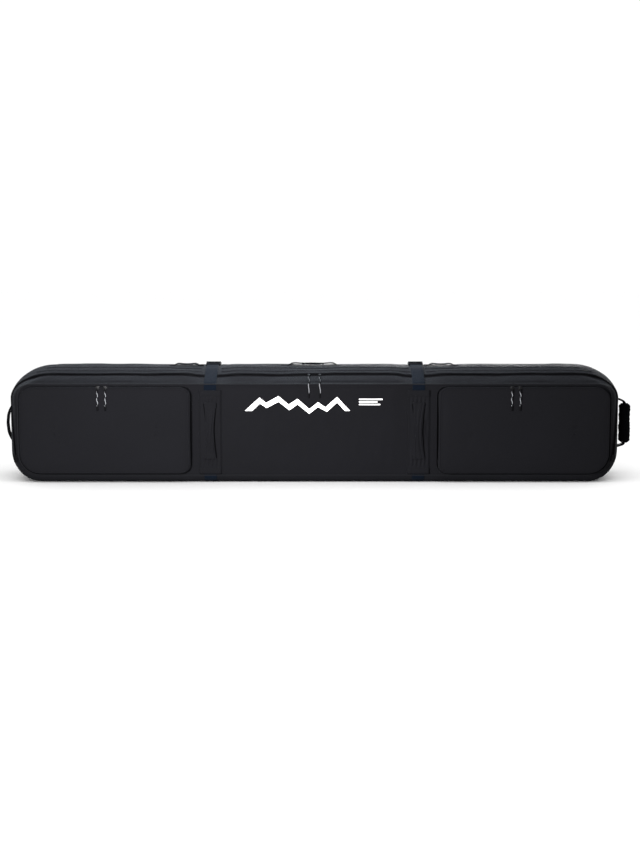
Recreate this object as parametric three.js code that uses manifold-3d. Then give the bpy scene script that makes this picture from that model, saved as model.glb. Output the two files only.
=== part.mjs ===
// A wheeled snowboard bag: a long padded tub whose front panel is a lid that folds forward on its
// lower edge. Millimetres. +X runs to the pull-handle end, +Y to the back, +Z up. The origin is the
// middle of the base, on the ground.
import * as THREE from 'three';
import { mergeVertices } from 'three/addons/utils/BufferGeometryUtils.js';
import Module from 'manifold-3d';

const wasm = await Module();
wasm.setup();

// ---- Driving dimensions ----
const WALL = 7; // padded fabric wall
const GAP = 0.3; // between pieces that touch
const FRONT = -115; // front face of the bag
const BACK = 115; // back face of the bag
// The bag's outline at each depth: y, half length, lowest z, highest z, then the length and height
// of its top corners and of its bottom corners.
const STATIONS = [
  [FRONT, 811, 20, 270, 36, 33, 62, 60],
  [-109, 819, 5.7, 272.8, 46, 39, 66, 64],
  [-95, 828, 0, 279, 63, 51, 73, 71],
  [-70, 838, 0, 289, 83, 64, 79, 77],
  [-60, 840.5, 0, 292.8, 90, 69, 82, 79],
  [-45, 843, 0, 298.2, 98, 73, 85, 81],
  [-25, 844, 0, 304.2, 102, 76, 87, 82],
  [0, 844, 0, 308.6, 104, 78, 87, 82],
  [30, 844, 0, 310, 104, 79, 87, 82],
  [60, 844, 0, 310, 104, 79, 87, 82],
  [85, 840, 0, 309, 98, 74, 86, 81],
  [100, 834, 4, 303, 87, 66, 82, 77],
  [110, 826, 13, 293, 76, 58, 77, 71],
  [BACK, 814, 26, 280, 65, 50, 68, 63],
];
const CORNER_STEPS = 6;

// The lid meets the tub on a slanting plane, from its hinge up to the main zip.
const HINGE = [FRONT, 20]; // y, z
const ZIP = [-70, 289]; // y, z
const LID_FOOT = 5.5; // the lid's thickness where it meets the hinge
const ZIP_WIDTH = 6.2; // one half of the main zip
const ZIP_PROUD = 0.8;
const ZIP_DEEP = 2.2;
const ZIP_START = 66; // how high the zip's ends are, on the bag's ends

const SIDES = { left: -1, right: 1 };
const STRAP_X = 285; // compression straps, each side of the middle
const STRAP_WIDTH = 34;
const STRAP_THICK = 1.8;
const STRAP_LIFT = 2.1; // the strap's middle above the fabric
const PATCH = { width: 60, low: 24, high: 255, deep: 4.1 };
const SLEEVE = { low: 64, high: 222, wide: 17, narrow: 9, thick: 3 };

const POCKET = { inner: 336, outer: 806, low: 26, high: 264, gusset: 7, flap: 6 };
const POCKET_RADII = { innerTop: 25, outerTop: 36, innerBottom: 25, outerBottom: 56 };
const POCKET_ZIP = 4; // width and depth of the zip let into the flap's rim

const BUCKLE = { width: 40, low: 310.9, mouth: 38, depth: 32, tongue: 6, middle: 313.7, slope: 0.62 };
const TONGUE_THICK = 2;
const PLUG = { front: 21, low: 310.6, high: 317.6 };

const SLIDER = { length: 14, width: 12, thick: 4.4, lift: 3.6 };
const MAIN_SLIDER_X = 15;
const POCKET_SLIDERS = { left: [-590, -569], right: [538, 560] };
const PULL = { width: 5, thick: 3, drop: 60 };

const WHEEL = { x: -815, y: 98, radius: 38, rim: 28, width: 24, bore: 4.15, axle: 4 };
const WHEEL_Z = { lower: 86, upper: 222 };
const HOUSING = { half: 27, well: 15, front: 50, inner: -766 };

const WEBBING = 2.4;
const HANDLE_WIDTH = 25;
const END_AXIS = 845; // how far out the end handles sway from

// ---- Materials ----
const paint = (color, roughness, metalness = 0) =>
  new THREE.MeshStandardMaterial({ color, roughness, metalness });
const MATERIALS = {
  shell_fabric: paint('#1d1e22', 0.85),
  strap_webbing: paint('#232a36', 0.7),
  black_webbing: paint('#101114', 0.75),
  zip_coil: paint('#0c0d0f', 0.5),
  slider_metal: paint('#15161a', 0.35, 0.8),
  pull_cord: paint('#a9abb0', 0.7),
  buckle_plastic: paint('#17191e', 0.4),
  housing_plastic: paint('#141518', 0.5),
  tyre: paint('#1a1a1c', 0.8),
  hub_plastic: paint('#3a3d42', 0.45),
  axle_steel: paint('#9a9da2', 0.3, 1),
  board_plastic: paint('#24262b', 0.6),
  window_film: paint('#c8ccd0', 0.15),
  grip_fabric: paint('#0d0e11', 0.8),
};

// ---- Solids ----
function solid(geometry) {
  geometry.deleteAttribute('normal');
  geometry.deleteAttribute('uv');
  const merged = mergeVertices(geometry, 1e-4);
  const mesh = new wasm.Mesh({
    numProp: 3,
    vertProperties: new Float32Array(merged.attributes.position.array),
    triVerts: new Uint32Array(merged.index.array),
  });
  return new wasm.Manifold(mesh);
}

function geometryOf(piece) {
  const mesh = piece.getMesh();
  const geometry = new THREE.BufferGeometry();
  geometry.setAttribute('position', new THREE.BufferAttribute(mesh.vertProperties, 3));
  geometry.setIndex(new THREE.BufferAttribute(mesh.triVerts, 1));
  geometry.computeVertexNormals();
  return geometry;
}

const slab = (x0, x1, y0, y1, z0, z1) =>
  solid(
    new THREE.BoxGeometry(x1 - x0, y1 - y0, z1 - z0).translate(
      (x0 + x1) / 2,
      (y0 + y1) / 2,
      (z0 + z1) / 2,
    ),
  );

// A flat outline pushed along an axis. Its points are (y, z), (x, z) or (x, y) for axis x, y or z.
const PLANES = {
  x: { u: [0, 1, 0], v: [0, 0, 1], w: [1, 0, 0] },
  y: { u: [1, 0, 0], v: [0, 0, 1], w: [0, -1, 0] },
  z: { u: [1, 0, 0], v: [0, 1, 0], w: [0, 0, 1] },
};

function prism(axis, outline, from, to) {
  const shape = new THREE.Shape(outline.map(([u, v]) => new THREE.Vector2(u, v)));
  const geometry = new THREE.ExtrudeGeometry(shape, { depth: to - from, bevelEnabled: false });
  const { u, v, w } = PLANES[axis];
  const turn = new THREE.Matrix4().makeBasis(
    new THREE.Vector3(...u),
    new THREE.Vector3(...v),
    new THREE.Vector3(...w),
  );
  geometry.applyMatrix4(turn);
  const start = { x: [from, 0, 0], y: [0, to, 0], z: [0, 0, from] }[axis];
  return solid(geometry.translate(...start));
}

// The outline of a strip of even thickness along a line of points.
function band(points, thickness) {
  const normals = points.slice(1).map(([u, v], i) => {
    const [du, dv] = [u - points[i][0], v - points[i][1]];
    const size = Math.hypot(du, dv);
    return [-dv / size, du / size];
  });
  const edge = (reach) =>
    points.map(([u, v], i) => {
      const a = normals[Math.max(i - 1, 0)];
      const b = normals[Math.min(i, normals.length - 1)];
      const share = reach / (1 + a[0] * b[0] + a[1] * b[1]);
      return [u + (a[0] + b[0]) * share, v + (a[1] + b[1]) * share];
    });
  return [...edge(thickness / 2), ...edge(-thickness / 2).reverse()];
}

// A rectangle with elliptical corners: its corners are [length, height], in the order
// bottom right, top right, top left, bottom left.
function roundedOutline(u0, v0, u1, v1, corners, steps = CORNER_STEPS) {
  const signs = [
    [1, -1],
    [1, 1],
    [-1, 1],
    [-1, -1],
  ];
  return corners.flatMap(([a, b], corner) => {
    const [su, sv] = signs[corner];
    const middle = [su > 0 ? u1 - a : u0 + a, sv > 0 ? v1 - b : v0 + b];
    return Array.from({ length: steps + 1 }, (_, i) => {
      const angle = ((corner - 1 + i / steps) * Math.PI) / 2;
      return [middle[0] + a * Math.cos(angle), middle[1] + b * Math.sin(angle)];
    });
  });
}

// The bag's whole body, made smaller by inset all round.
function body(inset) {
  const rings = STATIONS.map(([y, half, low, high, topA, topB, lowA, lowB]) => {
    const top = [topA - inset, topB - inset];
    const bottom = [lowA - inset, lowB - inset];
    const depth = y * (1 - inset / BACK);
    return roundedOutline(
      inset - half,
      low + inset,
      half - inset,
      high - inset,
      [bottom, top, top, bottom],
    ).map(([x, z]) => [x, depth, z]);
  });
  const count = rings[0].length;
  const points = rings.flat();
  const faces = [];
  for (let ring = 0; ring < rings.length - 1; ring += 1) {
    for (let i = 0; i < count; i += 1) {
      const next = (i + 1) % count;
      const [a, b] = [ring * count + i, (ring + 1) * count + i];
      const [c, d] = [(ring + 1) * count + next, ring * count + next];
      faces.push([a, b, c], [a, c, d]);
    }
  }
  const last = (rings.length - 1) * count;
  for (let i = 1; i < count - 1; i += 1) {
    faces.push([0, i, i + 1], [last, last + i + 1, last + i]);
  }
  const geometry = new THREE.BufferGeometry();
  geometry.setAttribute('position', new THREE.Float32BufferAttribute(points.flat(), 3));
  geometry.setIndex(faces.flat());
  return solid(geometry);
}

function lathe(profile, segments) {
  const points = profile.map(([r, h]) => new THREE.Vector2(r, h));
  return solid(new THREE.LatheGeometry(points, segments).rotateX(Math.PI / 2));
}

const rod = (radius, from, to) =>
  lathe([[0, from], [radius, from], [radius, to], [0, to]], 24);

// ---- Lid, tub and main zip ----
const SLOPE = (ZIP[0] - HINGE[0]) / (ZIP[1] - HINGE[1]);
const splitAt = (z) => HINGE[0] + (z - HINGE[1]) * SLOPE;
const LENGTH = 900; // past both ends of the bag
const ABOVE = 350; // past its top

// Everything in front of the slanting split, moved back by shift.
function lidSpace(shift) {
  const foot = FRONT + LID_FOOT;
  const bend = HINGE[1] + (foot - HINGE[0]) / SLOPE;
  const low = HINGE[1] + 0.5 - shift;
  const outline = [
    [FRONT - 30, low],
    [foot + shift, low],
    [foot + shift, bend],
    [splitAt(ABOVE) + shift, ABOVE],
    [FRONT - 30, ABOVE],
  ];
  return prism('x', outline, -LENGTH, LENGTH);
}

// One half of the main zip, on the front (-1) or back (1) of the split.
function zipHalf(side, spare) {
  const near = side * (0.25 - spare * 2);
  const far = side * (0.25 + ZIP_WIDTH + spare);
  const outline = [
    [splitAt(ZIP_START - spare) + near, ZIP_START - spare],
    [splitAt(ABOVE) + near, ABOVE],
    [splitAt(ABOVE) + far, ABOVE],
    [splitAt(ZIP_START - spare) + far, ZIP_START - spare],
  ];
  return body(-ZIP_PROUD - spare)
    .subtract(body(ZIP_DEEP + spare))
    .intersect(prism('x', outline, -LENGTH, LENGTH));
}

// ---- Compression straps: the path of the strap's middle in (y, z) ----
const EDGE_RADIUS = 20; // the bag's front lower edge
const flushStrap = Array.from({ length: 7 }, (_, i) => {
  const angle = (i / 6) * (Math.PI / 2);
  const reach = EDGE_RADIUS - STRAP_THICK / 2 - 0.1;
  return [
    FRONT + EDGE_RADIUS - reach * Math.cos(angle),
    EDGE_RADIUS - 0.6 - (reach - 0.6) * Math.sin(angle),
  ];
});
const backStrap = [
  ...flushStrap,
  [84, 1],
  [103, 3.6],
  [113.5, 13.5],
  [BACK + STRAP_LIFT, 27],
  [BACK + STRAP_LIFT, 281],
  [111.5, 294.5],
  [101, 305],
  [86, 311.1],
  [BUCKLE.mouth + BUCKLE.depth + 0.6, 311.7],
];
const frontStrap = [
  [FRONT - 1.35, 21.4],
  [FRONT - 1.35, 268],
  [FRONT - 1, 271.8],
  [-95.8, 281],
  [-74, 289.8],
];
const tongueStrap = [
  [-72.4, 290.4],
  [-60.7, 294.8],
  [-45.6, 300.3],
  [-25.5, 306.3],
  [-0.3, 310.9],
  [PLUG.front - 0.6, 312.6],
];
function strap(path, x, spare = 0) {
  const half = STRAP_WIDTH / 2 + spare;
  return prism('x', band(path, STRAP_THICK + spare), x - half, x + half);
}

// ---- Wheels ----
function wheelSpace(z, grow) {
  const { half, front, inner } = HOUSING;
  return slab(-LENGTH, inner + grow, front - grow, 140, z - half - grow, z + half + grow);
}

function wheelHousing(z) {
  const well = rod(WHEEL.radius + 4, -HOUSING.well, HOUSING.well).translate(WHEEL.x, WHEEL.y, z);
  const hole = rod(WHEEL.axle + 0.15, -22, 22).translate(WHEEL.x, WHEEL.y, z);
  return body(0.2).intersect(wheelSpace(z, 0)).subtract(well).subtract(hole);
}

// ---- Pockets ----
function pocketOutline(side, inset) {
  const { innerTop, outerTop, innerBottom, outerBottom } = POCKET_RADII;
  const round = (r) => [r - inset, r - inset];
  const inner = [round(innerBottom), round(innerTop)];
  const outer = [round(outerBottom), round(outerTop)];
  const [right, left] = side > 0 ? [outer, inner] : [inner, outer];
  const corners = [right[0], right[1], left[1], left[0]];
  const [from, to] = side > 0 ? [POCKET.inner, POCKET.outer] : [-POCKET.outer, -POCKET.inner];
  const [low, high] = [POCKET.low + inset, POCKET.high - inset];
  return roundedOutline(from + inset, low, to - inset, high, corners, 5);
}

const GUSSET_FACE = FRONT - GAP - POCKET.gusset;
const FLAP_BACK = GUSSET_FACE - GAP;
const FLAP_FACE = FLAP_BACK - POCKET.flap;

function pocketZip(side, spare) {
  const [from, to] = [FLAP_BACK - POCKET_ZIP + 1 - spare, FLAP_BACK - GAP + spare * 2];
  const above = slab(-LENGTH, LENGTH, from - 1, to + 1, ZIP_START - spare, ABOVE);
  return prism('y', pocketOutline(side, -spare), from, to)
    .subtract(prism('y', pocketOutline(side, POCKET_ZIP + spare), from - 1, to + 1))
    .intersect(above);
}

// ---- Handles: the narrow foot of a webbing loop, so that it can sway on the fabric ----
function footed(loop, axis, at, from, to) {
  // at is the sway axis, [across, up] in the plane square to the loop
  const [u, v] = at;
  const half = HANDLE_WIDTH / 2 + 1;
  const out = Math.sign(v) || 1;
  const outline = [
    [u - 2, v + out * 0.5],
    [u + 2, v + out * 0.5],
    [u + half, v + out * 6.5],
    [u + half, v + out * 60],
    [u - half, v + out * 60],
    [u - half, v + out * 6.5],
  ];
  const shaped = axis === 'z' ? outline.map(([a, b]) => [b, a]) : outline;
  return loop.intersect(prism(axis, shaped, from, to));
}

function topLoop(points, y) {
  const loop = prism('y', band(points, WEBBING), y - HANDLE_WIDTH / 2, y + HANDLE_WIDTH / 2);
  return footed(loop, 'x', [y, 311], -LENGTH, LENGTH);
}

function endLoop(points, side) {
  const loop = prism('y', band(points, WEBBING), -HANDLE_WIDTH / 2, HANDLE_WIDTH / 2);
  return footed(loop, 'z', [0, side * END_AXIS], 0, ABOVE);
}

// ---- Zip sliders and pulls ----
const zipTilt = Math.atan2(ZIP[1] - STATIONS[0][3], ZIP[0] - FRONT);
const alongTop = (across, up) => [
  ZIP[0] + across * Math.cos(zipTilt) - up * Math.sin(zipTilt),
  ZIP[1] + across * Math.sin(zipTilt) + up * Math.cos(zipTilt),
];

function mainSlider(x) {
  const { length, width, thick, lift } = SLIDER;
  const [low, high] = [lift - thick / 2, lift + thick / 2];
  const outline = [
    alongTop(-width / 2, low),
    alongTop(width / 2, low),
    alongTop(width / 2 - 2, high),
    alongTop(-width / 2, high),
  ];
  return prism('x', outline, x - length / 2, x + length / 2);
}

const mainPullPath = [
  [-79.4, 293],
  [-98, 282.6],
  [FRONT - 2, 274.5],
  [FRONT - 4.5, 268],
  [FRONT - 4.5, 233],
];
const pullOutline = (path) => band(path, PULL.thick);
const across = (x, width) => [x - width / 2, x + width / 2];

// ---- Assembly ----
const bag = new THREE.Group();
function add(name, piece, slot, place = [0, 0, 0]) {
  const mesh = new THREE.Mesh(geometryOf(piece), MATERIALS[slot]);
  mesh.name = name;
  mesh.position.set(...place);
  bag.add(mesh);
}

function addTub() {
  let shell = body(0).subtract(lidSpace(0.2)).subtract(body(WALL)).subtract(zipHalf(1, 0.3));
  for (const z of Object.values(WHEEL_Z)) shell = shell.subtract(wheelSpace(z, GAP));
  for (const side of Object.values(SIDES)) {
    shell = shell.subtract(strap(backStrap.slice(0, 12), side * STRAP_X, 0.6));
  }
  add('back_shell', shell, 'shell_fabric');
  add('zip_tape_back', zipHalf(1, 0), 'zip_coil');
  add('base_board', slab(-758, 758, 101, 107.5, 36, 270), 'board_plastic');
}

function addLid() {
  const front = body(0).intersect(lidSpace(-0.2)).subtract(body(WALL)).subtract(zipHalf(-1, 0.3));
  add('front_lid', front, 'shell_fabric');
  add('zip_tape_front', zipHalf(-1, 0), 'zip_coil');
}

function addStrap(name, side) {
  const x = side * STRAP_X;
  add(`${name}_strap_back`, strap(backStrap, x), 'strap_webbing');
  add(`${name}_strap_front`, strap(frontStrap, x), 'strap_webbing');
  add(`${name}_strap_tongue`, strap(tongueStrap, x), 'strap_webbing');

  const half = PATCH.width / 2;
  const [face, back] = [FRONT - GAP - PATCH.deep, FRONT - GAP];
  const patch = slab(x - half, x + half, face, back, PATCH.low, PATCH.high);
  const channel = slab(x - 18, x + 18, FRONT - 2.6, FRONT, 0, ABOVE);
  add(`${name}_strap_patch`, patch.subtract(channel), 'shell_fabric');

  const { low, high, wide, narrow, thick } = SLEEVE;
  const flat = face - GAP - thick / 2;
  const arch = [
    [flat, low],
    [flat, low + 16],
    [flat - 4.2, low + 34],
    [flat - 6, low + 60],
    [flat - 6, high - 62],
    [flat - 4.2, high - 36],
    [flat, high - 16],
    [flat, high],
  ];
  const waist = Array.from({ length: 13 }, (_, i) => {
    const t = i / 12;
    return [narrow + (wide - narrow) * Math.pow(Math.abs(2 * t - 1), 1.6), low + t * (high - low)];
  });
  const hourglass = [
    ...waist.map(([w, z]) => [x + w, z]),
    ...waist.map(([w, z]) => [x - w, z]).reverse(),
  ];
  const sleeve = prism('x', band(arch, thick), x - 20, x + 20);
  add(`${name}_grab_sleeve`, sleeve.intersect(prism('y', hourglass, -140, FRONT)), 'shell_fabric');
}

function addBuckle(name, side) {
  const x = side * STRAP_X;
  const { width, low, mouth, depth, tongue, middle, slope } = BUCKLE;
  const [from, to] = across(x, width);
  const rise = (tongue + 1) * slope; // the mouth widens upward, so that the tongue can swing out
  const ceiling = middle + TONGUE_THICK / 2 + 0.4;
  const shell = prism(
    'x',
    [
      [mouth, low],
      [mouth + depth, low],
      [mouth + depth, low + 3.5],
      [mouth + depth - 8, low + 7.6],
      [mouth + 3, ceiling + rise + 1.3],
      [mouth, ceiling + rise + 1],
    ],
    from,
    to,
  );
  const slot = prism(
    'x',
    [
      [mouth - 1, middle - TONGUE_THICK / 2 - 0.4],
      [mouth + tongue + 1, middle - TONGUE_THICK / 2 - 0.4],
      [mouth + tongue + 1, ceiling],
      [mouth, ceiling + rise],
      [mouth - 1, ceiling + rise],
    ],
    x - 14,
    x + 14,
  );
  add(`${name}_buckle_socket`, shell.subtract(slot), 'buckle_plastic');

  const head = prism(
    'x',
    [
      [PLUG.front, PLUG.low + 1],
      [PLUG.front + 2, PLUG.low],
      [mouth - 0.5, PLUG.low],
      [mouth - 0.5, PLUG.high],
      [PLUG.front + 4, PLUG.high],
      [PLUG.front, PLUG.high - 4],
    ],
    from,
    to,
  );
  const half = TONGUE_THICK / 2;
  const blade = slab(x - 13, x + 13, mouth - 2, mouth + tongue, middle - half, middle + half);
  add(`${name}_buckle_plug`, head.add(blade), 'buckle_plastic');
}

function addPocket(name, side) {
  const ring = prism('y', pocketOutline(side, 0), GUSSET_FACE, FRONT - GAP).subtract(
    prism('y', pocketOutline(side, 6), GUSSET_FACE - 1, FRONT),
  );
  add(`${name}_pocket_gusset`, ring, 'shell_fabric');
  const flap = prism('y', pocketOutline(side, 0), FLAP_FACE, FLAP_BACK);
  add(`${name}_pocket_flap`, flap.subtract(pocketZip(side, 0.3)), 'shell_fabric');
  add(`${name}_pocket_zip`, pocketZip(side, 0), 'zip_coil');
  POCKET_SLIDERS[name].forEach((x, i) => {
    const end = ['left', 'right'][i];
    const [from, to] = across(x, SLIDER.length - 1);
    const slider = slab(from, to, FLAP_FACE - 0.4 - SLIDER.thick, FLAP_FACE - 0.4, 257, 267);
    add(`${name}_pocket_slider_${end}`, slider, 'slider_metal');
    const y = FLAP_FACE - 0.4 - SLIDER.thick - 0.7 - PULL.thick / 2;
    const pull = prism('x', pullOutline([[y, 260], [y, 260 - PULL.drop]]), ...across(x, PULL.width));
    add(`${name}_pocket_pull_${end}`, pull, 'pull_cord');
  });
}

function addMainSliders() {
  for (const [end, side] of Object.entries(SIDES)) {
    const x = side * MAIN_SLIDER_X;
    add(`main_slider_${end}`, mainSlider(x), 'slider_metal');
    const pull = prism('x', pullOutline(mainPullPath), ...across(x, PULL.width));
    add(`main_pull_${end}`, pull, 'pull_cord');
  }
}

function addWheel(name, z) {
  const half = WHEEL.width / 2;
  const tyre = [
    [WHEEL.rim, -half],
    [WHEEL.radius - 4, -half],
    [WHEEL.radius, -half + 5],
    [WHEEL.radius, half - 5],
    [WHEEL.radius - 4, half],
    [WHEEL.rim, half],
    [WHEEL.rim, -half],
  ];
  const hub = [
    [WHEEL.bore, -half - 1],
    [10, -half - 1],
    [11, -half + 2],
    [24, -half + 2],
    [WHEEL.rim - 0.2, -half + 1],
    [WHEEL.rim - 0.2, half - 1],
    [24, half - 2],
    [11, half - 2],
    [10, half + 1],
    [WHEEL.bore, half + 1],
    [WHEEL.bore, -half - 1],
  ];
  const place = [WHEEL.x, WHEEL.y, z];
  add(`wheel_housing_${name}`, wheelHousing(z), 'housing_plastic');
  add(`wheel_axle_${name}`, rod(WHEEL.axle, -21, 21), 'axle_steel', place);
  add(`wheel_tyre_${name}`, lathe(tyre, 40), 'tyre', place);
  add(`wheel_hub_${name}`, lathe(hub, 32), 'hub_plastic', place);
  const rail = [
    [BACK + GAP, z - 13],
    [BACK + GAP, z + 13],
    [BACK + 9, z + 8],
    [BACK + 11, z + 5],
    [BACK + 11, z - 5],
    [BACK + 9, z - 8],
  ];
  add(`skid_rail_${name}`, prism('x', rail, -738, -330), 'housing_plastic');
}

function addHandles() {
  const arch = (middle, half, rise) =>
    [-1, -0.85, -0.55, -0.2, 0.2, 0.55, 0.85, 1].map((t) => [
      middle + half * t,
      311 + rise * (1 - Math.pow(Math.abs(t), 2.6)),
    ]);
  add('top_handle', topLoop(arch(-4.5, 66, 10), 20), 'black_webbing');
  add('left_top_loop', topLoop(arch(-359, 32, 8), 20), 'black_webbing');
  add('right_top_loop', topLoop(arch(356, 33, 8), 20), 'black_webbing');

  const bulge = [-1, -0.8, -0.45, 0, 0.45, 0.8, 1].map((t) => [
    -END_AXIS - 18.3 * (1 - Math.pow(Math.abs(t), 2.4)),
    151.5 + 53.5 * t,
  ]);
  add('left_end_handle', endLoop(bulge, -1), 'black_webbing');

  const grip = { x: 871, low: 96, high: 206, half: 15 };
  const pull = [
    [END_AXIS, grip.low - 8],
    [858, grip.low - 8],
    [grip.x - 2, grip.low - 5],
    [grip.x, grip.low - 1],
    [grip.x, grip.high + 1],
    [grip.x - 2, grip.high + 6],
    [858, grip.high + 11],
    [END_AXIS, grip.high + 11],
  ];
  add('right_end_webbing', endLoop(pull, 1), 'black_webbing');
  const { x, half } = grip;
  const corner = [9, 9];
  const outline = roundedOutline(x - half, -15, x + half, 15, [corner, corner, corner, corner], 4);
  const channel = slab(x - 1.9, x + 1.9, -13.2, 13.2, grip.low - 1, grip.high + 1);
  add('right_end_grip', prism('z', outline, grip.low, grip.high).subtract(channel), 'grip_fabric');
}

function addTrim() {
  const frame = [500, 165, 612, 235];
  const rounded = (inset, r) =>
    roundedOutline(frame[0] + inset, frame[1] + inset, frame[2] - inset, frame[3] - inset,
      Array(4).fill([r, r]), 3);
  const ring = prism('y', rounded(0, 8), BACK + GAP, BACK + 2).subtract(
    prism('y', rounded(9, 4), BACK, BACK + 3),
  );
  add('id_window_frame', ring, 'black_webbing');
  add('id_window_film', prism('y', rounded(9.3, 3.8), BACK + GAP, BACK + 1), 'window_film');
  for (const [name, side] of Object.entries(SIDES)) {
    const x = side * 350;
    add(`${name}_tie_strap`, slab(x - 12.5, x + 12.5, 98, 100.6, 40, 266), 'black_webbing');
    const plate = roundedOutline(x - 18, 128, x + 18, 176, Array(4).fill([5, 5]), 3);
    add(`${name}_tie_buckle`, prism('y', plate, 89, 97.6), 'buckle_plastic');
  }
}

addTub();
addLid();
for (const [name, side] of Object.entries(SIDES)) {
  addStrap(name, side);
  addBuckle(name, side);
  addPocket(name, side);
}
addMainSliders();
for (const [name, z] of Object.entries(WHEEL_Z)) addWheel(name, z);
addHandles();
addTrim();

export default bag;
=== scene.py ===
import math
from contextlib import contextmanager

import bmesh
import bpy
import numpy as np
from mathutils import Matrix, Vector, noise
from mathutils.bvhtree import BVHTree


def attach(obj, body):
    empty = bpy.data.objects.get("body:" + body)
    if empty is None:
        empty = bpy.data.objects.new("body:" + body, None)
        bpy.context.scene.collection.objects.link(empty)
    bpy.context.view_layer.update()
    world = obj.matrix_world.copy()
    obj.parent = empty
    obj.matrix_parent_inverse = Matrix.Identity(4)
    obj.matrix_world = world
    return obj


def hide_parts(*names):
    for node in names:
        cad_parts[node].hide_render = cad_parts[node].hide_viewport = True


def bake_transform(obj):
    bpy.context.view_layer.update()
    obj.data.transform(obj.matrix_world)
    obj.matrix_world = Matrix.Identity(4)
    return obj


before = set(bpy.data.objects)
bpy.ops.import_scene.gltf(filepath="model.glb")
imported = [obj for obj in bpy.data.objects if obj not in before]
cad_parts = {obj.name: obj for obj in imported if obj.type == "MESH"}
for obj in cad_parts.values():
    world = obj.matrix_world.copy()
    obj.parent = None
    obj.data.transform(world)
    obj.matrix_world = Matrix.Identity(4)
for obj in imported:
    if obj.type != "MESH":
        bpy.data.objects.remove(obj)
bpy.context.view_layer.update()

MM = 0.001  # sizes are in millimetres here; points and lines of points are in metres, as in Blender

# ---------------------------------------------------------------- driving sizes, in millimetres
FRONT, BACK = -115, 115  # y of the flat panels
WALL = 6.5
HINGE = (-115.0, 20.0)  # y, z of the lid's hinge
ZIP = (-70.0, 289.0)  # y, z where the main zip crosses the top
# The body's outline at each depth: y, half length, lowest z, highest z, then the length and height
# of its top corners and of its bottom corners.
STATIONS = (
    (-115, 811, 20, 270, 36, 33, 62, 60),
    (-109, 819, 5.7, 272.8, 46, 39, 66, 64),
    (-95, 828, 0, 279, 63, 51, 73, 71),
    (-70, 838, 0, 289, 83, 64, 79, 77),
    (-60, 840.5, 0, 292.8, 90, 69, 82, 79),
    (-45, 843, 0, 298.2, 98, 73, 85, 81),
    (-25, 844, 0, 304.2, 102, 76, 87, 82),
    (0, 844, 0, 308.6, 104, 78, 87, 82),
    (30, 844, 0, 310, 104, 79, 87, 82),
    (60, 844, 0, 310, 104, 79, 87, 82),
    (85, 840, 0, 309, 98, 74, 86, 81),
    (100, 834, 4, 303, 87, 66, 82, 77),
    (110, 826, 13, 293, 76, 58, 77, 71),
    (115, 814, 26, 280, 65, 50, 68, 63),
)
ZIP_LOW = 66  # height of the zip's ends
MIDDLE_Z = 145
STRAP_X, STRAP_WIDTH, STRAP_THICK = 285, 34, 1.8
HANDLE_WIDTH = 25  # of the webbing of the handles and the tie-downs
WINDOW = {"x": 556, "z": 200, "half_length": 52, "half_height": 31}  # its row of stitches
SIDES = {"left": -1, "right": 1}
WHEEL_Z = {"lower": 86, "upper": 222}
WHEEL_X, WHEEL_Y = -815, 98
WELL = {"x": -765.5, "y": 49.5, "half": 27.5}  # the space of a wheel housing


def over_wheel(place, z, grow=0.0):
    """Whether a place, in millimetres, is over the housing of the wheel at height z."""
    return (place[0] < WELL["x"] + grow and place[1] > WELL["y"] - grow
            and abs(place[2] - z) < WELL["half"] + grow)


# ---------------------------------------------------------------- camera, floor and light
def linked(name, data):
    """A new object in the scene."""
    obj = bpy.data.objects.new(name, data)
    bpy.context.scene.collection.objects.link(obj)
    return obj


def facing(away):
    """The turn of a camera or lamp that looks against this direction."""
    return (-Vector(away)).to_track_quat("-Z", "Y").to_euler()


def make_camera():
    data = bpy.data.cameras.new("camera")
    data.lens, data.sensor_width = 64.5, 36
    camera = linked("camera", data)
    target, distance, elevation = Vector((0.0154, 0, 0.1404)), 4.3, math.radians(7)
    away = Vector((0, -math.cos(elevation), math.sin(elevation)))
    camera.location = target + away * distance
    camera.rotation_euler = facing(away)
    bpy.context.scene.camera = camera


def make_light(name, place, target, size, power, floor, link="EXCLUDE", colour=(1, 1, 1)):
    """A soft box that lights everything but the floor (EXCLUDE), or the floor alone (INCLUDE)."""
    data = bpy.data.lights.new(name, "AREA")
    data.shape, data.size, data.size_y = "RECTANGLE", *size
    data.energy, data.color = power, colour
    light = linked(name, data)
    light.location = place
    light.visible_camera = False
    links = bpy.data.collections.new(f"{name}_light_links")
    links.objects.link(floor)
    links.collection_objects[0].light_linking.link_state = link
    light.light_linking.receiver_collection = links
    light.rotation_euler = facing(Vector(place) - Vector(target))


def make_stage():
    world = bpy.data.worlds.new("studio")
    world.use_nodes = True
    background = world.node_tree.nodes["Background"].inputs
    background["Color"].default_value = (1, 1, 1, 1)
    background["Strength"].default_value = 1.02
    bpy.context.scene.world = world
    bpy.context.scene.view_settings.view_transform = "Standard"
    bpy.ops.mesh.primitive_plane_add(size=30)
    floor = bpy.context.object
    floor.name = "studio_floor"
    paper = bpy.data.materials.new("studio_floor")
    paper.use_nodes = True
    shader = paper.node_tree.nodes["Principled BSDF"]
    shader.inputs["Base Color"].default_value = (0.985, 0.985, 0.985, 1)
    shader.inputs["Roughness"].default_value = 0.9
    floor.data.materials.append(paper)
    make_light("key", (-0.4, -1.4, 0.5), (-0.2, 0, 0.14), (0.7, 0.5), 80, floor)
    make_light("top", (-0.2, 0.8, 1.45), (-0.1, 0, 0.28), (1.1, 0.5), 56, floor,
               colour=(0.76, 0.88, 1))
    make_light("back", (0.7, 1.9, 0.6), (0, 0.1, 0.12), (1.6, 0.5), 60, floor)
    make_light("floor_fill", (0, -1.0, 1.6), (0, -0.3, 0), (3.2, 0.6), 15, floor, "INCLUDE")


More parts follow.
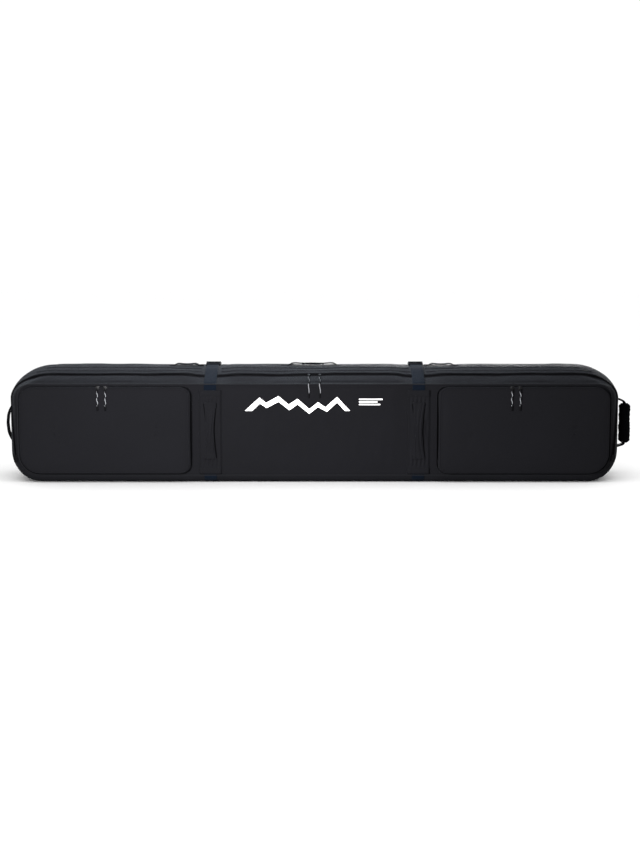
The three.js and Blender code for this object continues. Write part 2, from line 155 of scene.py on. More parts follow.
# ---------------------------------------------------------------- materials
class Graph:
    """A material's nodes, made one at a time."""

    def __init__(self, name, colour, roughness, specular=0.5, **sockets):
        self.material = bpy.data.materials.new(name)
        self.material.use_nodes = True
        self.tree = self.material.node_tree
        self.shader = self.tree.nodes["Principled BSDF"]
        self.shader.inputs["Base Color"].default_value = (*colour, 1)
        self.shader.inputs["Roughness"].default_value = roughness
        self.shader.inputs["Specular IOR Level"].default_value = specular
        for socket, value in sockets.items():
            self.shader.inputs[socket.replace("_", " ")].default_value = value
        self.coords = self.node("ShaderNodeTexCoord").outputs

    def node(self, kind, links=None, **settings):
        node = self.tree.nodes.new(kind)
        for key, value in settings.items():
            setattr(node, key, value)
        for key, value in (links or {}).items():
            if isinstance(value, bpy.types.NodeSocket):
                self.tree.links.new(value, node.inputs[key])
            else:
                node.inputs[key].default_value = value
        return node

    def math(self, operation, a, b=0.0):
        return self.node("ShaderNodeMath", {0: a, 1: b}, operation=operation).outputs[0]

    def add(self, a, b):
        return self.math("ADD", a, b)

    def times(self, a, b):
        return self.math("MULTIPLY", a, b)

    def noise(self, scale, detail=2.0):
        links = {"Vector": self.coords["Object"], "Scale": scale, "Detail": detail}
        return self.node("ShaderNodeTexNoise", links).outputs["Fac"]

    def ramp(self, value, low, high, to_low=0.0, to_high=1.0):
        links = {"Value": value, "From Min": low, "From Max": high, "To Min": to_low, "To Max": to_high}
        return self.node("ShaderNodeMapRange", links).outputs[0]

    def split(self, vector):
        return self.node("ShaderNodeSeparateXYZ", {0: vector}).outputs

    def place(self, axis):
        return self.split(self.coords["Object"])[axis]

    def uv(self):
        """The piece's own unwrapped surface, in metres: X round or across it, Y along it."""
        return self.split(self.node("ShaderNodeUVMap", uv_map="UVMap").outputs[0])

    def wave(self, value, period):
        turned = self.math("MULTIPLY_ADD", value, math.tau / period)
        turned.node.inputs[2].default_value = 0
        return self.math("SINE", turned)

    def mix(self, factor, a, b):
        node = self.node("ShaderNodeMix", {"Factor": factor}, data_type="RGBA")
        for key, value in (("A", a), ("B", b)):
            socket = next(s for s in node.inputs if s.name == key and s.type == "RGBA")
            if isinstance(value, bpy.types.NodeSocket):
                self.tree.links.new(value, socket)
            else:
                socket.default_value = (*value, 1)
        return next(s for s in node.outputs if s.type == "RGBA")

    def colour(self, socket):
        self.tree.links.new(socket, self.shader.inputs["Base Color"])

    def roughness(self, socket):
        self.tree.links.new(socket, self.shader.inputs["Roughness"])

    def bump(self, height, distance):
        node = self.node("ShaderNodeBump", {"Height": height, "Distance": distance, "Strength": 1})
        self.tree.links.new(node.outputs[0], self.shader.inputs["Normal"])


def shade(colour, factor):
    return tuple(c * factor for c in colour)


def woven(name, colour, roughness=0.82, pitch=1.5, relief=0.18, **sockets):
    """Coated plain weave on any surface: the two directions across each face's main normal."""
    g = Graph(name, colour, roughness, **sockets)
    place = g.split(g.coords["Object"])
    x, y, z = (place[axis] for axis in "XYZ")
    normal = g.split(g.node("ShaderNodeNewGeometry").outputs["Normal"])
    pitch = pitch * MM
    parts = []
    for across, a, b in (("X", y, z), ("Y", x, z), ("Z", x, y)):
        share = g.math("POWER", g.math("ABSOLUTE", normal[across]), 3.0)
        parts.append(g.times(g.times(g.wave(a, pitch), g.wave(b, pitch)), share))
    total = g.add(g.add(parts[0], parts[1]), parts[2])
    patches = g.noise(5.0, 3.0)
    fibres = g.noise(900.0, 2.0)
    tone = g.add(g.ramp(patches, 0.3, 0.7, -0.35, 0.35), g.ramp(total, -1.0, 1.0, -0.3, 0.3))
    tone = g.add(tone, g.ramp(fibres, 0.3, 0.7, -0.35, 0.35))
    # scuffed where the bag stands
    worn = g.ramp(g.times(g.noise(38.0, 6.0), g.ramp(z, 0.05, 0.0)), 0.45, 0.8, 0.0, 0.35)
    base = g.mix(g.ramp(tone, -1.0, 1.0), shade(colour, 0.72), shade(colour, 1.32))
    g.colour(g.mix(worn, base, shade(colour, 3.2)))
    g.roughness(g.ramp(patches, 0.3, 0.7, roughness - 0.07, roughness + 0.06))
    height = g.add(total, g.times(g.noise(60.0, 3.0), 1.6))
    g.bump(height, relief * MM)
    return g.material


def webbing(name, colour, **sockets):
    """Flat woven webbing, with its ribs along it."""
    g = Graph(name, colour, 0.75, **sockets)
    uv = g.uv()
    rows = g.wave(uv["Y"], 1.7 * MM)
    sway = g.times(g.math("ABSOLUTE", rows), 0.25 * MM)
    ribs = g.wave(g.add(uv["X"], sway), 2.3 * MM)
    cloth = g.times(g.math("ABSOLUTE", ribs), g.ramp(rows, -1.0, 1.0, 0.45, 1.0))
    fuzz = g.noise(700.0, 2.0)
    tone = g.add(g.times(cloth, 0.55), g.times(fuzz, 0.5))
    wear = g.ramp(g.noise(22.0, 5.0), 0.55, 0.8, 0.0, 0.25)
    base = g.mix(tone, shade(colour, 0.55), shade(colour, 1.5))
    g.colour(g.mix(wear, base, shade(colour, 2.0)))
    g.bump(cloth, 0.35 * MM)
    return g.material


def moulded(name, colour, roughness, grain=1.0, **sockets):
    """Moulded plastic or painted metal: a fine grain, and a few pale scuffs."""
    g = Graph(name, colour, roughness, **sockets)
    fine = g.noise(1400.0, 2.0)
    broad = g.noise(30.0, 4.0)
    scuffs = g.ramp(g.noise(110.0, 8.0), 0.6, 0.75, 0.0, 0.3)
    base = g.mix(broad, shade(colour, 0.85), shade(colour, 1.2))
    g.colour(g.mix(scuffs, base, shade(colour, 2.2)))
    g.roughness(g.ramp(broad, 0.3, 0.7, roughness - 0.08, roughness + 0.1))
    g.bump(fine, 0.06 * MM * grain)
    return g.material


def thread(name, colour):
    g = Graph(name, colour, 0.7, specular=0.05)
    g.colour(g.mix(g.noise(500.0), shade(colour, 0.7), shade(colour, 1.3)))
    g.bump(g.wave(g.place("X"), 0.5 * MM), 0.05 * MM)
    return g.material


def cord_cover(name, colour, **sockets):
    """Braided cord: two crossing spirals, from its own unwrapped surface."""
    g = Graph(name, colour, 0.65, **sockets)
    uv = g.uv()
    left = g.wave(g.add(uv["X"], uv["Y"]), 1.4 * MM)
    right = g.wave(g.math("SUBTRACT", uv["X"], uv["Y"]), 1.4 * MM)
    braid = g.times(left, right)
    g.colour(g.mix(g.ramp(braid, -1.0, 1.0), shade(colour, 0.6), shade(colour, 1.15)))
    g.bump(braid, 0.2 * MM)
    return g.material


def film():
    """Clear vinyl seen against the dark cloth behind it, a little cloudy and not quite flat."""
    g = Graph("window_film", (0.012, 0.0125, 0.014), 0.3, specular=0.12)
    g.colour(g.mix(g.noise(25.0, 5.0), (0.008, 0.0085, 0.0095), (0.020, 0.021, 0.023)))
    g.roughness(g.ramp(g.noise(60.0, 6.0), 0.4, 0.75, 0.24, 0.5))
    g.bump(g.noise(18.0, 2.0), 0.5 * MM)
    return g.material


def brushed(name, colour):
    g = Graph(name, colour, 0.3, Metallic=1.0)
    g.roughness(g.ramp(g.noise(250.0, 6.0), 0.3, 0.7, 0.2, 0.42))
    g.bump(g.wave(g.place("Z"), 0.35 * MM), 0.01 * MM)
    return g.material


FABRIC = (0.0033, 0.0033, 0.0041)
COOL = (0.8, 0.88, 1.0, 1)
MATERIALS = (
    woven("shell_fabric", FABRIC, specular=0.035, Sheen_Weight=0.021, Sheen_Roughness=0.3,
          Sheen_Tint=COOL),
    woven("lining", (0.035, 0.037, 0.042), 0.6, 2.6, 0.1, specular=0.15),
    # near-black cloth, much darker than the shell: painted shade on the pockets' gussets and painted
    # shadow under the grab sleeves
    woven("bellows", (0.0008, 0.0008, 0.0010), 0.85, 1.2, specular=0.01),
    woven("binding", (0.0044, 0.0045, 0.0054), 0.7, 0.9, 0.1, specular=0.05),
    webbing("strap_webbing", (0.0012, 0.0023, 0.0046), specular=0.02, Sheen_Weight=0.010,
            Sheen_Tint=COOL),
    webbing("black_webbing", (0.0013, 0.0013, 0.0016), specular=0.03),
    moulded("zip_coil", (0.0006, 0.0006, 0.0007), 0.75, specular=0.01),
    woven("zip_tape", (0.0006, 0.0006, 0.0007), 0.85, 0.8, specular=0.01),
    moulded("slider_metal", (0.0020, 0.0020, 0.0023), 0.4, 0.5, specular=0.08),
    cord_cover("pull_cord", (0.16, 0.163, 0.175)),
    cord_cover("pull_tracer", (0.003, 0.003, 0.004), specular=0.05),
    moulded("pull_end", (0.0012, 0.0012, 0.0015), 0.6, specular=0.03),
    moulded("buckle_plastic", (0.0013, 0.0015, 0.0020), 0.62, specular=0.03),
    moulded("housing_plastic", (0.003, 0.003, 0.0036), 0.5, 2.0, specular=0.15),
    moulded("tyre", (0.0045, 0.0045, 0.005), 0.75, 3.0, specular=0.1),
    moulded("hub_plastic", (0.018, 0.0195, 0.022), 0.45, specular=0.25),
    brushed("axle_steel", (0.32, 0.32, 0.34)),
    moulded("board_plastic", (0.008, 0.0085, 0.01), 0.6, 3.0, specular=0.15),
    film(),
    woven("grip_fabric", (0.0008, 0.0008, 0.0011), 0.8, 1.6, 0.3, specular=0.02),
    thread("thread", (0.0042, 0.0042, 0.0052)),
    thread("strap_thread", (0.005, 0.008, 0.012)),
    moulded("print_ink", (0.72, 0.72, 0.71), 0.6),
)


def look_name(material):
    """A material's name, without the number that Blender adds to a name already in use."""
    return material.name.split(".")[0]


M = {look_name(material): material for material in MATERIALS}


OWN = "own"  # a piece that has its materials already


# ---------------------------------------------------------------- mesh helpers
def new_object(name, points, faces):
    mesh = bpy.data.meshes.new(name)
    mesh.from_pydata([tuple(p) for p in points], [], [tuple(f) for f in faces])
    mesh.validate()
    mesh.shade_smooth()
    return linked(name, mesh)


@contextmanager
def editing(mesh):
    """The mesh as a bmesh, written back at the end."""
    bm = bmesh.new()
    bm.from_mesh(mesh)
    yield bm
    bm.to_mesh(mesh)
    bm.free()


def turned_outward(obj):
    with editing(obj.data) as bm:
        bmesh.ops.recalc_face_normals(bm, faces=bm.faces)
    return obj


def search_tree(obj):
    """A tree that finds the nearest place on the object."""
    bm = bmesh.new()
    bm.from_mesh(obj.data)
    tree = BVHTree.FromBMesh(bm)
    bm.free()
    return tree


def settle(obj, body, slot, *nodes, look=None):
    """The last step of every piece: its look (its slot's, if none is named, or OWN if it has one
    already), the body that it moves with and the nodes that it stands for."""
    if look is not OWN:
        obj.data.materials.clear()
        obj.data.materials.append(M[look or slot])
    if nodes:
        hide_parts(*nodes)
    if body:
        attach(obj, body)


def applied(obj):
    """The object again, with its modifiers made part of its mesh."""
    graph = bpy.context.evaluated_depsgraph_get()
    mesh = bpy.data.meshes.new_from_object(obj.evaluated_get(graph))
    obj.modifiers.clear()
    obj.data = mesh
    return obj


def points_of(obj, what="co"):
    """The place of each vertex, or its normal."""
    out = np.zeros(len(obj.data.vertices) * 3)
    obj.data.vertices.foreach_get(what, out)
    return out.reshape(-1, 3)


def put_points(obj, points):
    obj.data.vertices.foreach_set("co", np.asarray(points, float).ravel())
    obj.data.update()


def distances(line):
    """How far along the line each of its points is."""
    return np.concatenate([[0], np.cumsum(np.linalg.norm(np.diff(line, axis=0), axis=1))])


def resampled(line, step, closed=False):
    """A line of points again, evenly spaced."""
    line = np.asarray(line, float)
    if closed:
        line = np.vstack([line, line[:1]])
    along = distances(line)
    count = max(2, round(along[-1] / step) + 1)
    at = np.linspace(0, along[-1], count)
    out = np.stack([np.interp(at, along, line[:, k]) for k in range(line.shape[1])], axis=1)
    return out[:-1] if closed else out


def rounded_path(points, step, passes):
    """Even points along a path whose corners are rounded off; its two ends stay where they are."""
    line = resampled(points, step)
    for _ in range(passes):
        line[1:-1] = (line[:-2] + 2 * line[1:-1] + line[2:]) / 4
    return line


def unit(vectors):
    return vectors / np.maximum(np.linalg.norm(vectors, axis=-1, keepdims=True), 1e-12)


def directions(line, closed=False):
    if closed:
        return unit(np.roll(line, -1, 0) - np.roll(line, 1, 0))
    return unit(np.gradient(line, axis=0))


def ring_faces(count, sides, closed=False):
    """The faces between rings of points that follow each other, each with this many sides."""
    faces = []
    for i in range(count if closed else count - 1):
        a, b = i * sides, ((i + 1) % count) * sides
        faces += [(a + k, a + (k + 1) % sides, b + (k + 1) % sides, b + k) for k in range(sides)]
    return faces


def skin(name, rings, closed=False, uv=None):
    """A tube through rings of points, all of one count. Its ends are capped unless it is closed."""
    rings = np.asarray(rings)
    count, sides = rings.shape[:2]
    faces = ring_faces(count, sides, closed)
    if not closed:
        faces += [tuple(range(sides))[::-1], tuple((count - 1) * sides + k for k in range(sides))]
    obj = turned_outward(new_object(name, rings.reshape(-1, 3), faces))
    if uv is not None:
        uv = np.asarray(uv).reshape(-1, 2)
        corners = np.zeros(len(obj.data.loops), int)
        obj.data.loops.foreach_get("vertex_index", corners)
        obj.data.uv_layers.new(name="UVMap").data.foreach_set("uv", uv[corners].ravel())
    return obj


def tube(name, line, radius, sides, closed=False, up=(0, 0, 1)):
    """A round cord or piping along a line. Its radius is one number, or one for each point."""
    along = directions(line, closed)
    side = unit(np.cross(along, np.asarray(up, float) + 1e-4))
    lift = np.cross(side, along)
    angle = np.arange(sides) * math.tau / sides
    radius = np.broadcast_to(np.asarray(radius, float) * MM, (len(line),))[:, None, None]
    cos, sin = np.cos(angle)[None, :, None], np.sin(angle)[None, :, None]
    rings = line[:, None] + (side[:, None] * cos + lift[:, None] * sin) * radius
    uv = np.broadcast_arrays(angle[None] * radius[:, :, 0], distances(line)[:, None])
    return skin(name, rings, closed, np.stack(uv, axis=-1))


def strip(name, line, across, width, thick):
    """Webbing along a line. across is the direction of its width, one for all or one a point."""
    across = unit(np.broadcast_to(np.asarray(across, float), line.shape))
    along = directions(line)
    up = unit(np.cross(across, along))
    edge = np.broadcast_to(np.asarray(thick, float) * MM / 2, (len(line),))
    half = np.broadcast_to(np.asarray(width, float) * MM / 2, (len(line),))
    # u across, v up: a flat band with round edges, in 14 points
    turns = np.linspace(-math.pi / 2, math.pi / 2, 5)
    right = [(1.0, math.cos(t), math.sin(t)) for t in turns]
    left = [(-1.0, -math.cos(t), -math.sin(t)) for t in turns]
    middle_top = [(0.33, 0.0, 1.0), (-0.33, 0.0, 1.0)]
    middle_low = [(-0.33, 0.0, -1.0), (0.33, 0.0, -1.0)]
    shape = np.array([*right, *middle_top, *left, *middle_low])
    inner = half - edge
    u = shape[None, :, 0] * inner[:, None] + shape[None, :, 1] * edge[:, None]
    v = shape[None, :, 2] * edge[:, None]
    rings = line[:, None] + across[:, None] * u[:, :, None] + up[:, None] * v[:, :, None]
    uv = np.stack(np.broadcast_arrays(u, distances(line)[:, None]), axis=-1)
    return skin(name, rings, uv=uv)


def stitches(name, runs, length=3.2, gap=1.5, thick=0.8):
    """Thread, with one long lozenge a stitch, half sunk in the cloth. Each run is a line in metres
    and the direction out of the cloth, one for all or one a point."""
    body = np.array([(-1, 0, 0), (-0.7, -1, 0), (0.7, -1, 0), (1, 0, 0), (0.7, 1, 0), (-0.7, 1, 0),
                     (-0.5, 0, 1), (0.5, 0, 1)], float)
    around = [(0, 1, 6), (1, 2, 7, 6), (2, 3, 7), (3, 4, 7), (4, 5, 6, 7), (5, 0, 6),
              (5, 4, 3, 2, 1, 0)]
    points, faces = [], []
    for line, normal in runs:
        both = np.hstack([line, np.broadcast_to(normal, line.shape)])
        both = resampled(both, (length + gap) * MM)
        at, up = both[:, :3], unit(both[:, 3:])
        along = directions(at)
        side = unit(np.cross(up, along))
        for p, a, s, n in zip(at, along, side, up):
            start = len(points)
            offset = body * np.array([length / 2, thick / 2, thick * 0.55]) * MM
            points.extend(p + offset @ np.array([a, s, n]))
            faces.extend(tuple(start + k for k in f) for f in around)
    return new_object(name, points, faces)


def mirrored(half):
    """The whole of a profile of (radius, height), from its lower half."""
    return [*half, *((radius, -height) for radius, height in half[::-1])]


def lathe(name, profile, middle, segments):
    """A closed profile of (radius, height) turned about the upright axis through middle."""
    angle = np.arange(segments) * math.tau / segments
    rings = [[(r * math.cos(t), r * math.sin(t), h) for r, h in profile] for t in angle]
    return skin(name, np.array(rings) * MM + np.asarray(middle, float), closed=True)


def refined(node, name, body, slot, bevel, angle=30, look=None):
    """A piece with a CAD node's own shape, its edges rounded, that stands for the node."""
    obj = linked(name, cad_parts[node].data.copy())
    with editing(obj.data) as bm:
        bmesh.ops.remove_doubles(bm, verts=bm.verts, dist=1e-6)
        bmesh.ops.dissolve_limit(bm, angle_limit=math.radians(2), verts=bm.verts, edges=bm.edges)
    modifier = obj.modifiers.new("edges", "BEVEL")
    modifier.width, modifier.segments = bevel * MM, 3
    modifier.limit_method, modifier.angle_limit = "ANGLE", math.radians(angle)
    applied(obj).data.shade_smooth()
    obj.data.set_sharp_from_angle(angle=math.radians(35))
    settle(obj, body, slot, node, look=look)


def joined(name, pieces):
    """Several meshes as one object, each face keeping its own material."""
    pieces[0].name = name
    if len(pieces) == 1:
        return pieces[0]
    with bpy.context.temp_override(active_object=pieces[0], selected_editable_objects=pieces,
                                   selected_objects=pieces, object=pieces[0]):
        bpy.ops.object.join()
    return pieces[0]


# ---------------------------------------------------------------- the bag's body
def station(y):
    table = np.array(STATIONS, float).T
    return [y, *(np.interp(y, table[0], column) for column in table[1:])]


COLUMNS, ROWS, CORNER_STEPS = 150, 26, 14


def edge_row(half, level, a, b, up):
    """The top (up=1) or bottom (up=-1) of one outline, as COLUMNS points from left to right. a and
    b are the length and the height of its corners."""
    turn = np.linspace(0, math.pi / 2, CORNER_STEPS + 1)
    arc_x, arc_z = half - a + a * np.cos(turn), level - up * (b - b * np.sin(turn))
    straight = np.linspace(-(half - a), half - a, COLUMNS - 2 * CORNER_STEPS)[1:-1]
    x = np.concatenate([-arc_x, straight, arc_x[::-1]])
    z = np.concatenate([arc_z, np.full(len(straight), float(level)), arc_z[::-1]])
    return x, z


def panel(y):
    """One whole cross-section as a grid of points: [row from the bottom, column from the left]."""
    y, half, low, high, top_a, top_b, low_a, low_b = station(y)
    bx, bz = edge_row(half, low, low_a, low_b, -1)
    tx, tz = edge_row(half, high, top_a, top_b, 1)
    t = np.linspace(0, 1, ROWS)[:, None]
    x, z = bx + (tx - bx) * t, bz + (tz - bz) * t
    return np.stack([x, np.full_like(x, y), z], axis=-1) * MM


def rim(grid):
    """The grid's outer points, once round: along the bottom, up the right, back along the top."""
    return np.concatenate([grid[0], grid[1:-1, -1], grid[-1][::-1], grid[1:-1, 0][::-1]])


def grid_faces(rows, columns, start=0):
    return [(start + r * columns + c, start + r * columns + c + 1,
             start + (r + 1) * columns + c + 1, start + (r + 1) * columns + c)
            for r in range(rows - 1) for c in range(columns - 1)]


DEPTHS = sorted({*[s[0] for s in STATIONS], *range(-55, 85, 10), 92, -102, -82, -76})


def body_mesh():
    """A closed skin: front panel, a band round the sides, and back panel, sewn at two seams."""
    index = np.arange(ROWS * COLUMNS).reshape(ROWS, COLUMNS)
    points = [panel(DEPTHS[0]).reshape(-1, 3)]
    rings = [rim(index)]
    count = index.size
    for y in DEPTHS[1:-1]:
        points.append(rim(panel(y)))
        rings.append(np.arange(len(points[-1])) + count)
        count += len(points[-1])
    points.append(panel(DEPTHS[-1]).reshape(-1, 3))
    rings.append(rim(index + count))
    faces = grid_faces(ROWS, COLUMNS)
    for a, b in zip(rings, rings[1:]):
        faces += zip(np.roll(a, -1), a, b, np.roll(b, -1))
    faces += [f[::-1] for f in grid_faces(ROWS, COLUMNS, count)]
    obj = new_object("body_skin", np.concatenate(points), faces)
    return obj, {*rings[0].tolist(), *rings[-1].tolist()}


def smooth_step(x, low, high):
    t = np.clip((x - low) / (high - low), 0, 1)
    return t * t * (3 - 2 * t)


CLOTH_FRAMES = 20


def inflate(obj, pinned, caps):
    """Cloth swelled by air inside; pinned points stay, and no point moves further than its cap."""
    start = points_of(obj)
    group = obj.vertex_groups.new(name="pin")
    group.add([int(i) for i in pinned], 1.0, "ADD")
    cloth = obj.modifiers.new("cloth", "CLOTH")
    settings = cloth.settings
    settings.vertex_group_mass = "pin"
    settings.use_pressure = True
    settings.uniform_pressure_force = 4
    settings.effector_weights.gravity = 0
    settings.quality = 6
    settings.mass = 0.4
    settings.tension_stiffness = settings.compression_stiffness = 12
    settings.shear_stiffness = 8
    settings.bending_stiffness = 2
    cloth.collision_settings.use_collision = False
    cloth.point_cache.frame_start, cloth.point_cache.frame_end = 1, CLOTH_FRAMES
    scene = bpy.context.scene
    for frame_number in range(1, CLOTH_FRAMES + 1):
        scene.frame_set(frame_number)
    applied(obj)
    scene.frame_set(1)
    move = points_of(obj) - start
    size = np.maximum(np.linalg.norm(move, axis=1), 1e-9)
    caps = np.broadcast_to(caps, size.shape) * MM
    put_points(obj, start + move * (caps * np.tanh(size / np.maximum(caps, 1e-9)) / size)[:, None])
    obj.vertex_groups.clear()


def crumple(obj, amounts, scale, seed, stretch, sharp=0.0):
    """Small folds: moves points along their normals by noise, amounts in millimetres."""
    points = points_of(obj)
    shift = Vector((seed * 7.3, seed * 3.1, seed * 5.7))
    put = points * np.array(stretch) / (scale * MM)
    value = np.array([noise.noise(Vector(p) + shift) for p in put])
    if sharp:
        value = (1 - np.abs(value) * 2) * sharp + value * (1 - sharp)
    put_points(obj, points + points_of(obj, "normal") * (value * amounts * MM)[:, None])


def subdivided(obj):
    modifier = obj.modifiers.new("subdivision", "SUBSURF")
    modifier.levels = modifier.render_levels = 1
    return applied(obj)


def creased(obj, vertices):
    """Keeps every edge between two of these points sharp when the mesh is subdivided."""
    layer = obj.data.attributes.new("crease_edge", "FLOAT", "EDGE")
    layer.data.foreach_set("value", [float(vertices.issuperset(e.vertices)) for e in obj.data.edges])


def body_caps(points):
    """How far each point of the skin may swell, in millimetres."""
    place, y, z = points.T / MM
    x = np.abs(place)
    front, back = y < FRONT + 0.1, y > BACK - 0.1
    strap = smooth_step(np.abs(x - STRAP_X), 24, 80)
    middle = smooth_step(260 - x, 5, 60)
    caps = np.where(front, 3.2 * middle, 4.5 * strap * smooth_step(z, 2, 40) + 0.1)
    # flat under the address window, over the wheels, at the ends and under the loops on the top
    window = np.maximum(np.abs(place - WINDOW["x"]) - WINDOW["half_length"],
                        np.abs(z - WINDOW["z"]) - WINDOW["half_height"])
    caps = np.where(back, 2.2 * strap * smooth_step(window - 4, 4, 45), caps)
    caps = np.where((place < -740) & (y > 40), 0.15, caps)
    caps = caps * (1 - 0.9 * smooth_step(x, 740, 830))
    near_loops = np.exp(-((x - 358) / 45) ** 2) + np.exp(-((place + 4.5) / 80) ** 2)
    caps = np.where(z > 300, caps * (1 - 0.85 * np.clip(near_loops, 0, 1)), caps)
    hinge = smooth_step(z, 22, 60) * smooth_step(-y, 108, 114) + smooth_step(y, -108, -100)
    return np.maximum(caps * np.clip(hinge, 0, 1), 0.02)


def make_body():
    """The swollen skin, and a search tree that everything sewn to it is laid on."""
    obj, seams = body_mesh()
    points = points_of(obj)
    resting = np.where(points[:, 2] < 0.0035)[0]
    inflate(obj, seams | set(resting.tolist()), body_caps(points))
    creased(obj, seams)
    subdivided(obj)
    points = points_of(obj)
    share = np.clip(body_caps(points) / 3.0, 0, 1)
    crumple(obj, 2.4 * share, 170, 1, (1, 1.4, 1.2))
    crumple(obj, 1.3 * share, 55, 2, (0.6, 1, 1), sharp=0.5)
    pucker = np.exp(-((np.abs(points[:, 1] / MM) - 113) / 14) ** 2) * share
    crumple(obj, 1.0 * pucker, 16, 3, (1, 0.25, 0.25))
    return obj, search_tree(obj)


SLOPE = (ZIP[0] - HINGE[0]) / (ZIP[1] - HINGE[1])
SPLIT_NORMAL = Vector((0, 1, -SLOPE)).normalized()  # square to the split, pointing back


def bisected(bm, lift=0.0, **cut):
    """Cuts a mesh along the slanting split, moved back by lift millimetres."""
    place = Vector((0, HINGE[0] * MM, HINGE[1] * MM)) + SPLIT_NORMAL * lift * MM
    return bmesh.ops.bisect_plane(bm, geom=[*bm.verts, *bm.edges, *bm.faces], dist=1e-7,
                                  plane_co=place, plane_no=SPLIT_NORMAL, **cut)["geom_cut"]


def cut_skin(skin_obj, side):
    """The skin on one side of the split: -1 for the lid, 1 for the tub."""
    obj = linked("cut", skin_obj.data.copy())
    with editing(obj.data) as bm:
        bisected(bm, 0.12 * side, clear_outer=side < 0, clear_inner=side > 0)
    obj.data.shade_smooth()
    return obj


def split_line(skin_obj):
    """Where the split crosses the skin, from the left end over the top to the right end."""
    with editing(skin_obj.data.copy()) as bm:
        points = np.array([v.co for v in bisected(bm)
                           if isinstance(v, bmesh.types.BMVert) and v.co.z > 35 * MM])
    return points[np.argsort(-np.arctan2(points[:, 2], points[:, 0] / 6))]


def on_skin(tree, points, lift=0.0):
    """The nearest places on the skin, raised from it, and the directions out of it there."""
    places, outs = [], []
    for p in np.atleast_2d(points):
        where, normal, _, _ = tree.find_nearest(Vector(p))
        places.append(where)
        outs.append(normal)
    places, outs = np.array(places), unit(np.array(outs))
    return places + outs * lift * MM, outs


def thick_shell(obj, thickness):
    """Cloth with a lining, whose thickness goes inward."""
    obj.data.materials.append(M["shell_fabric"])
    obj.data.materials.append(M["lining"])
    solid = obj.modifiers.new("wall", "SOLIDIFY")
    solid.thickness, solid.offset = thickness * MM, -1
    solid.use_even_offset = True
    solid.material_offset = 1
    solid.material_offset_rim = 0
    applied(obj)


def cut_for_wheels(tub):
    """Takes the skin away over each wheel housing, along straight lines."""
    with editing(tub.data) as bm:
        for z in WHEEL_Z.values():
            sides = ((WELL["x"], (1, 0, 0)), (WELL["y"], (0, 1, 0)),
                     (z - WELL["half"], (0, 0, 1)), (z + WELL["half"], (0, 0, 1)))
            for far, normal in sides:
                near = [f for f in bm.faces if over_wheel(f.calc_center_median() / MM, z, 30)]
                edges, corners = ({part for f in near for part in getattr(f, kind)}
                                  for kind in ("edges", "verts"))
                bmesh.ops.bisect_plane(bm, geom=[*near, *edges, *corners], dist=1e-6,
                                       plane_co=Vector(normal) * far * MM, plane_no=normal)
            inside = [f for f in bm.faces if over_wheel(f.calc_center_median() / MM, z)]
            bmesh.ops.delete(bm, geom=inside, context="FACES")


def make_shells(skin_obj):
    for name, body, node, side, thickness in (("lid_panel", "lid", "front_lid", -1, 5.2),
                                              ("tub_shell", "tub", "back_shell", 1, WALL)):
        shell = cut_skin(skin_obj, side)
        if body == "tub":
            cut_for_wheels(shell)
        thick_shell(shell, thickness)
        shell.name = name
        settle(shell, body, "shell_fabric", node, look=OWN)


# ---------------------------------------------------------------- seams, piping and the main zip
def ring_line(y, inset=0.0, step=6.0):
    """The outline of the body at one depth, evenly spaced, moved inward by inset millimetres."""
    line = resampled(rim(panel(y)), step * MM, closed=True)
    inward = unit(np.cross(directions(line, True), (0, 1, 0)))
    middle = np.array([0, y, MIDDLE_Z]) * MM
    inward *= np.sign(np.sum((middle - line) * inward, axis=1, keepdims=True))
    return line + inward * inset * MM, inward


def lozenges(name, at, along, up, size):
    """Small rounded bars, one at each place: size is length along, width across and height up.
    along and up are one direction for all, or one for each."""
    body = np.array([(-1, -0.7, -1), (-1, 0.7, -1), (1, 0.7, -1), (1, -0.7, -1),
                     (-1, -0.7, 0.5), (-1, 0.7, 0.5), (1, 0.7, 0.5), (1, -0.7, 0.5),
                     (-0.7, -1, 0), (-0.7, 1, 0), (0.7, 1, 0), (0.7, -1, 0),
                     (-0.6, 0, 1), (0.6, 0, 1)], float) / 2
    faces = [(0, 1, 2, 3), (0, 3, 11, 8), (2, 1, 9, 10), (1, 0, 4, 5), (3, 2, 6, 7), (0, 8, 4),
             (1, 5, 9), (2, 10, 6), (3, 7, 11), (8, 11, 7, 13, 12, 4), (9, 5, 12, 13, 6, 10),
             (4, 12, 5), (7, 6, 13)]
    along, up = (np.broadcast_to(np.asarray(way, float), at.shape) for way in (along, up))
    basis = np.stack([along, unit(np.cross(up, along)), up], axis=1)
    points = at[:, None] + (body * np.array(size) * MM)[None] @ basis
    all_faces = [tuple(i * len(body) + k for k in f) for i in range(len(at)) for f in faces]
    return turned_outward(new_object(name, points.reshape(-1, 3), all_faces))


def skin_band(name, tree, line, across, offsets):
    """A flat tape that lies on the skin along a line, between the first and last offset."""
    laid = [on_skin(tree, line + across * offset * MM) for offset in offsets]
    tops = [place + out * 0.45 * MM for place, out in laid]
    lows = [top - out * 0.9 * MM for top, (_, out) in zip(tops, laid)]
    return skin(name, np.stack([*tops, *lows[::-1]], axis=1))


def runs_where(keep):
    """The stretches of a row of points that are kept, as arrays of their numbers."""
    runs = np.split(np.arange(len(keep)), np.where(np.diff(keep.astype(int)))[0] + 1)
    return [run for run in runs if keep[run[0]] and len(run) > 2]


def clear_runs(line, spare, wanted=True):
    """The stretches of a closed line that are wanted and clear of the wheels; all of it, or several."""
    over = [any(over_wheel(p / MM, z, spare) for z in WHEEL_Z.values()) for p in line]
    keep = ~np.array(over) & wanted
    if keep.all():
        return [line]
    start = int(np.argmin(keep))
    return [np.roll(line, -start, 0)[run] for run in runs_where(np.roll(keep, -start))]


ENDS = (("front", -1, "lid"), ("back", 1, "tub"))  # what is sewn twice: name, side and body


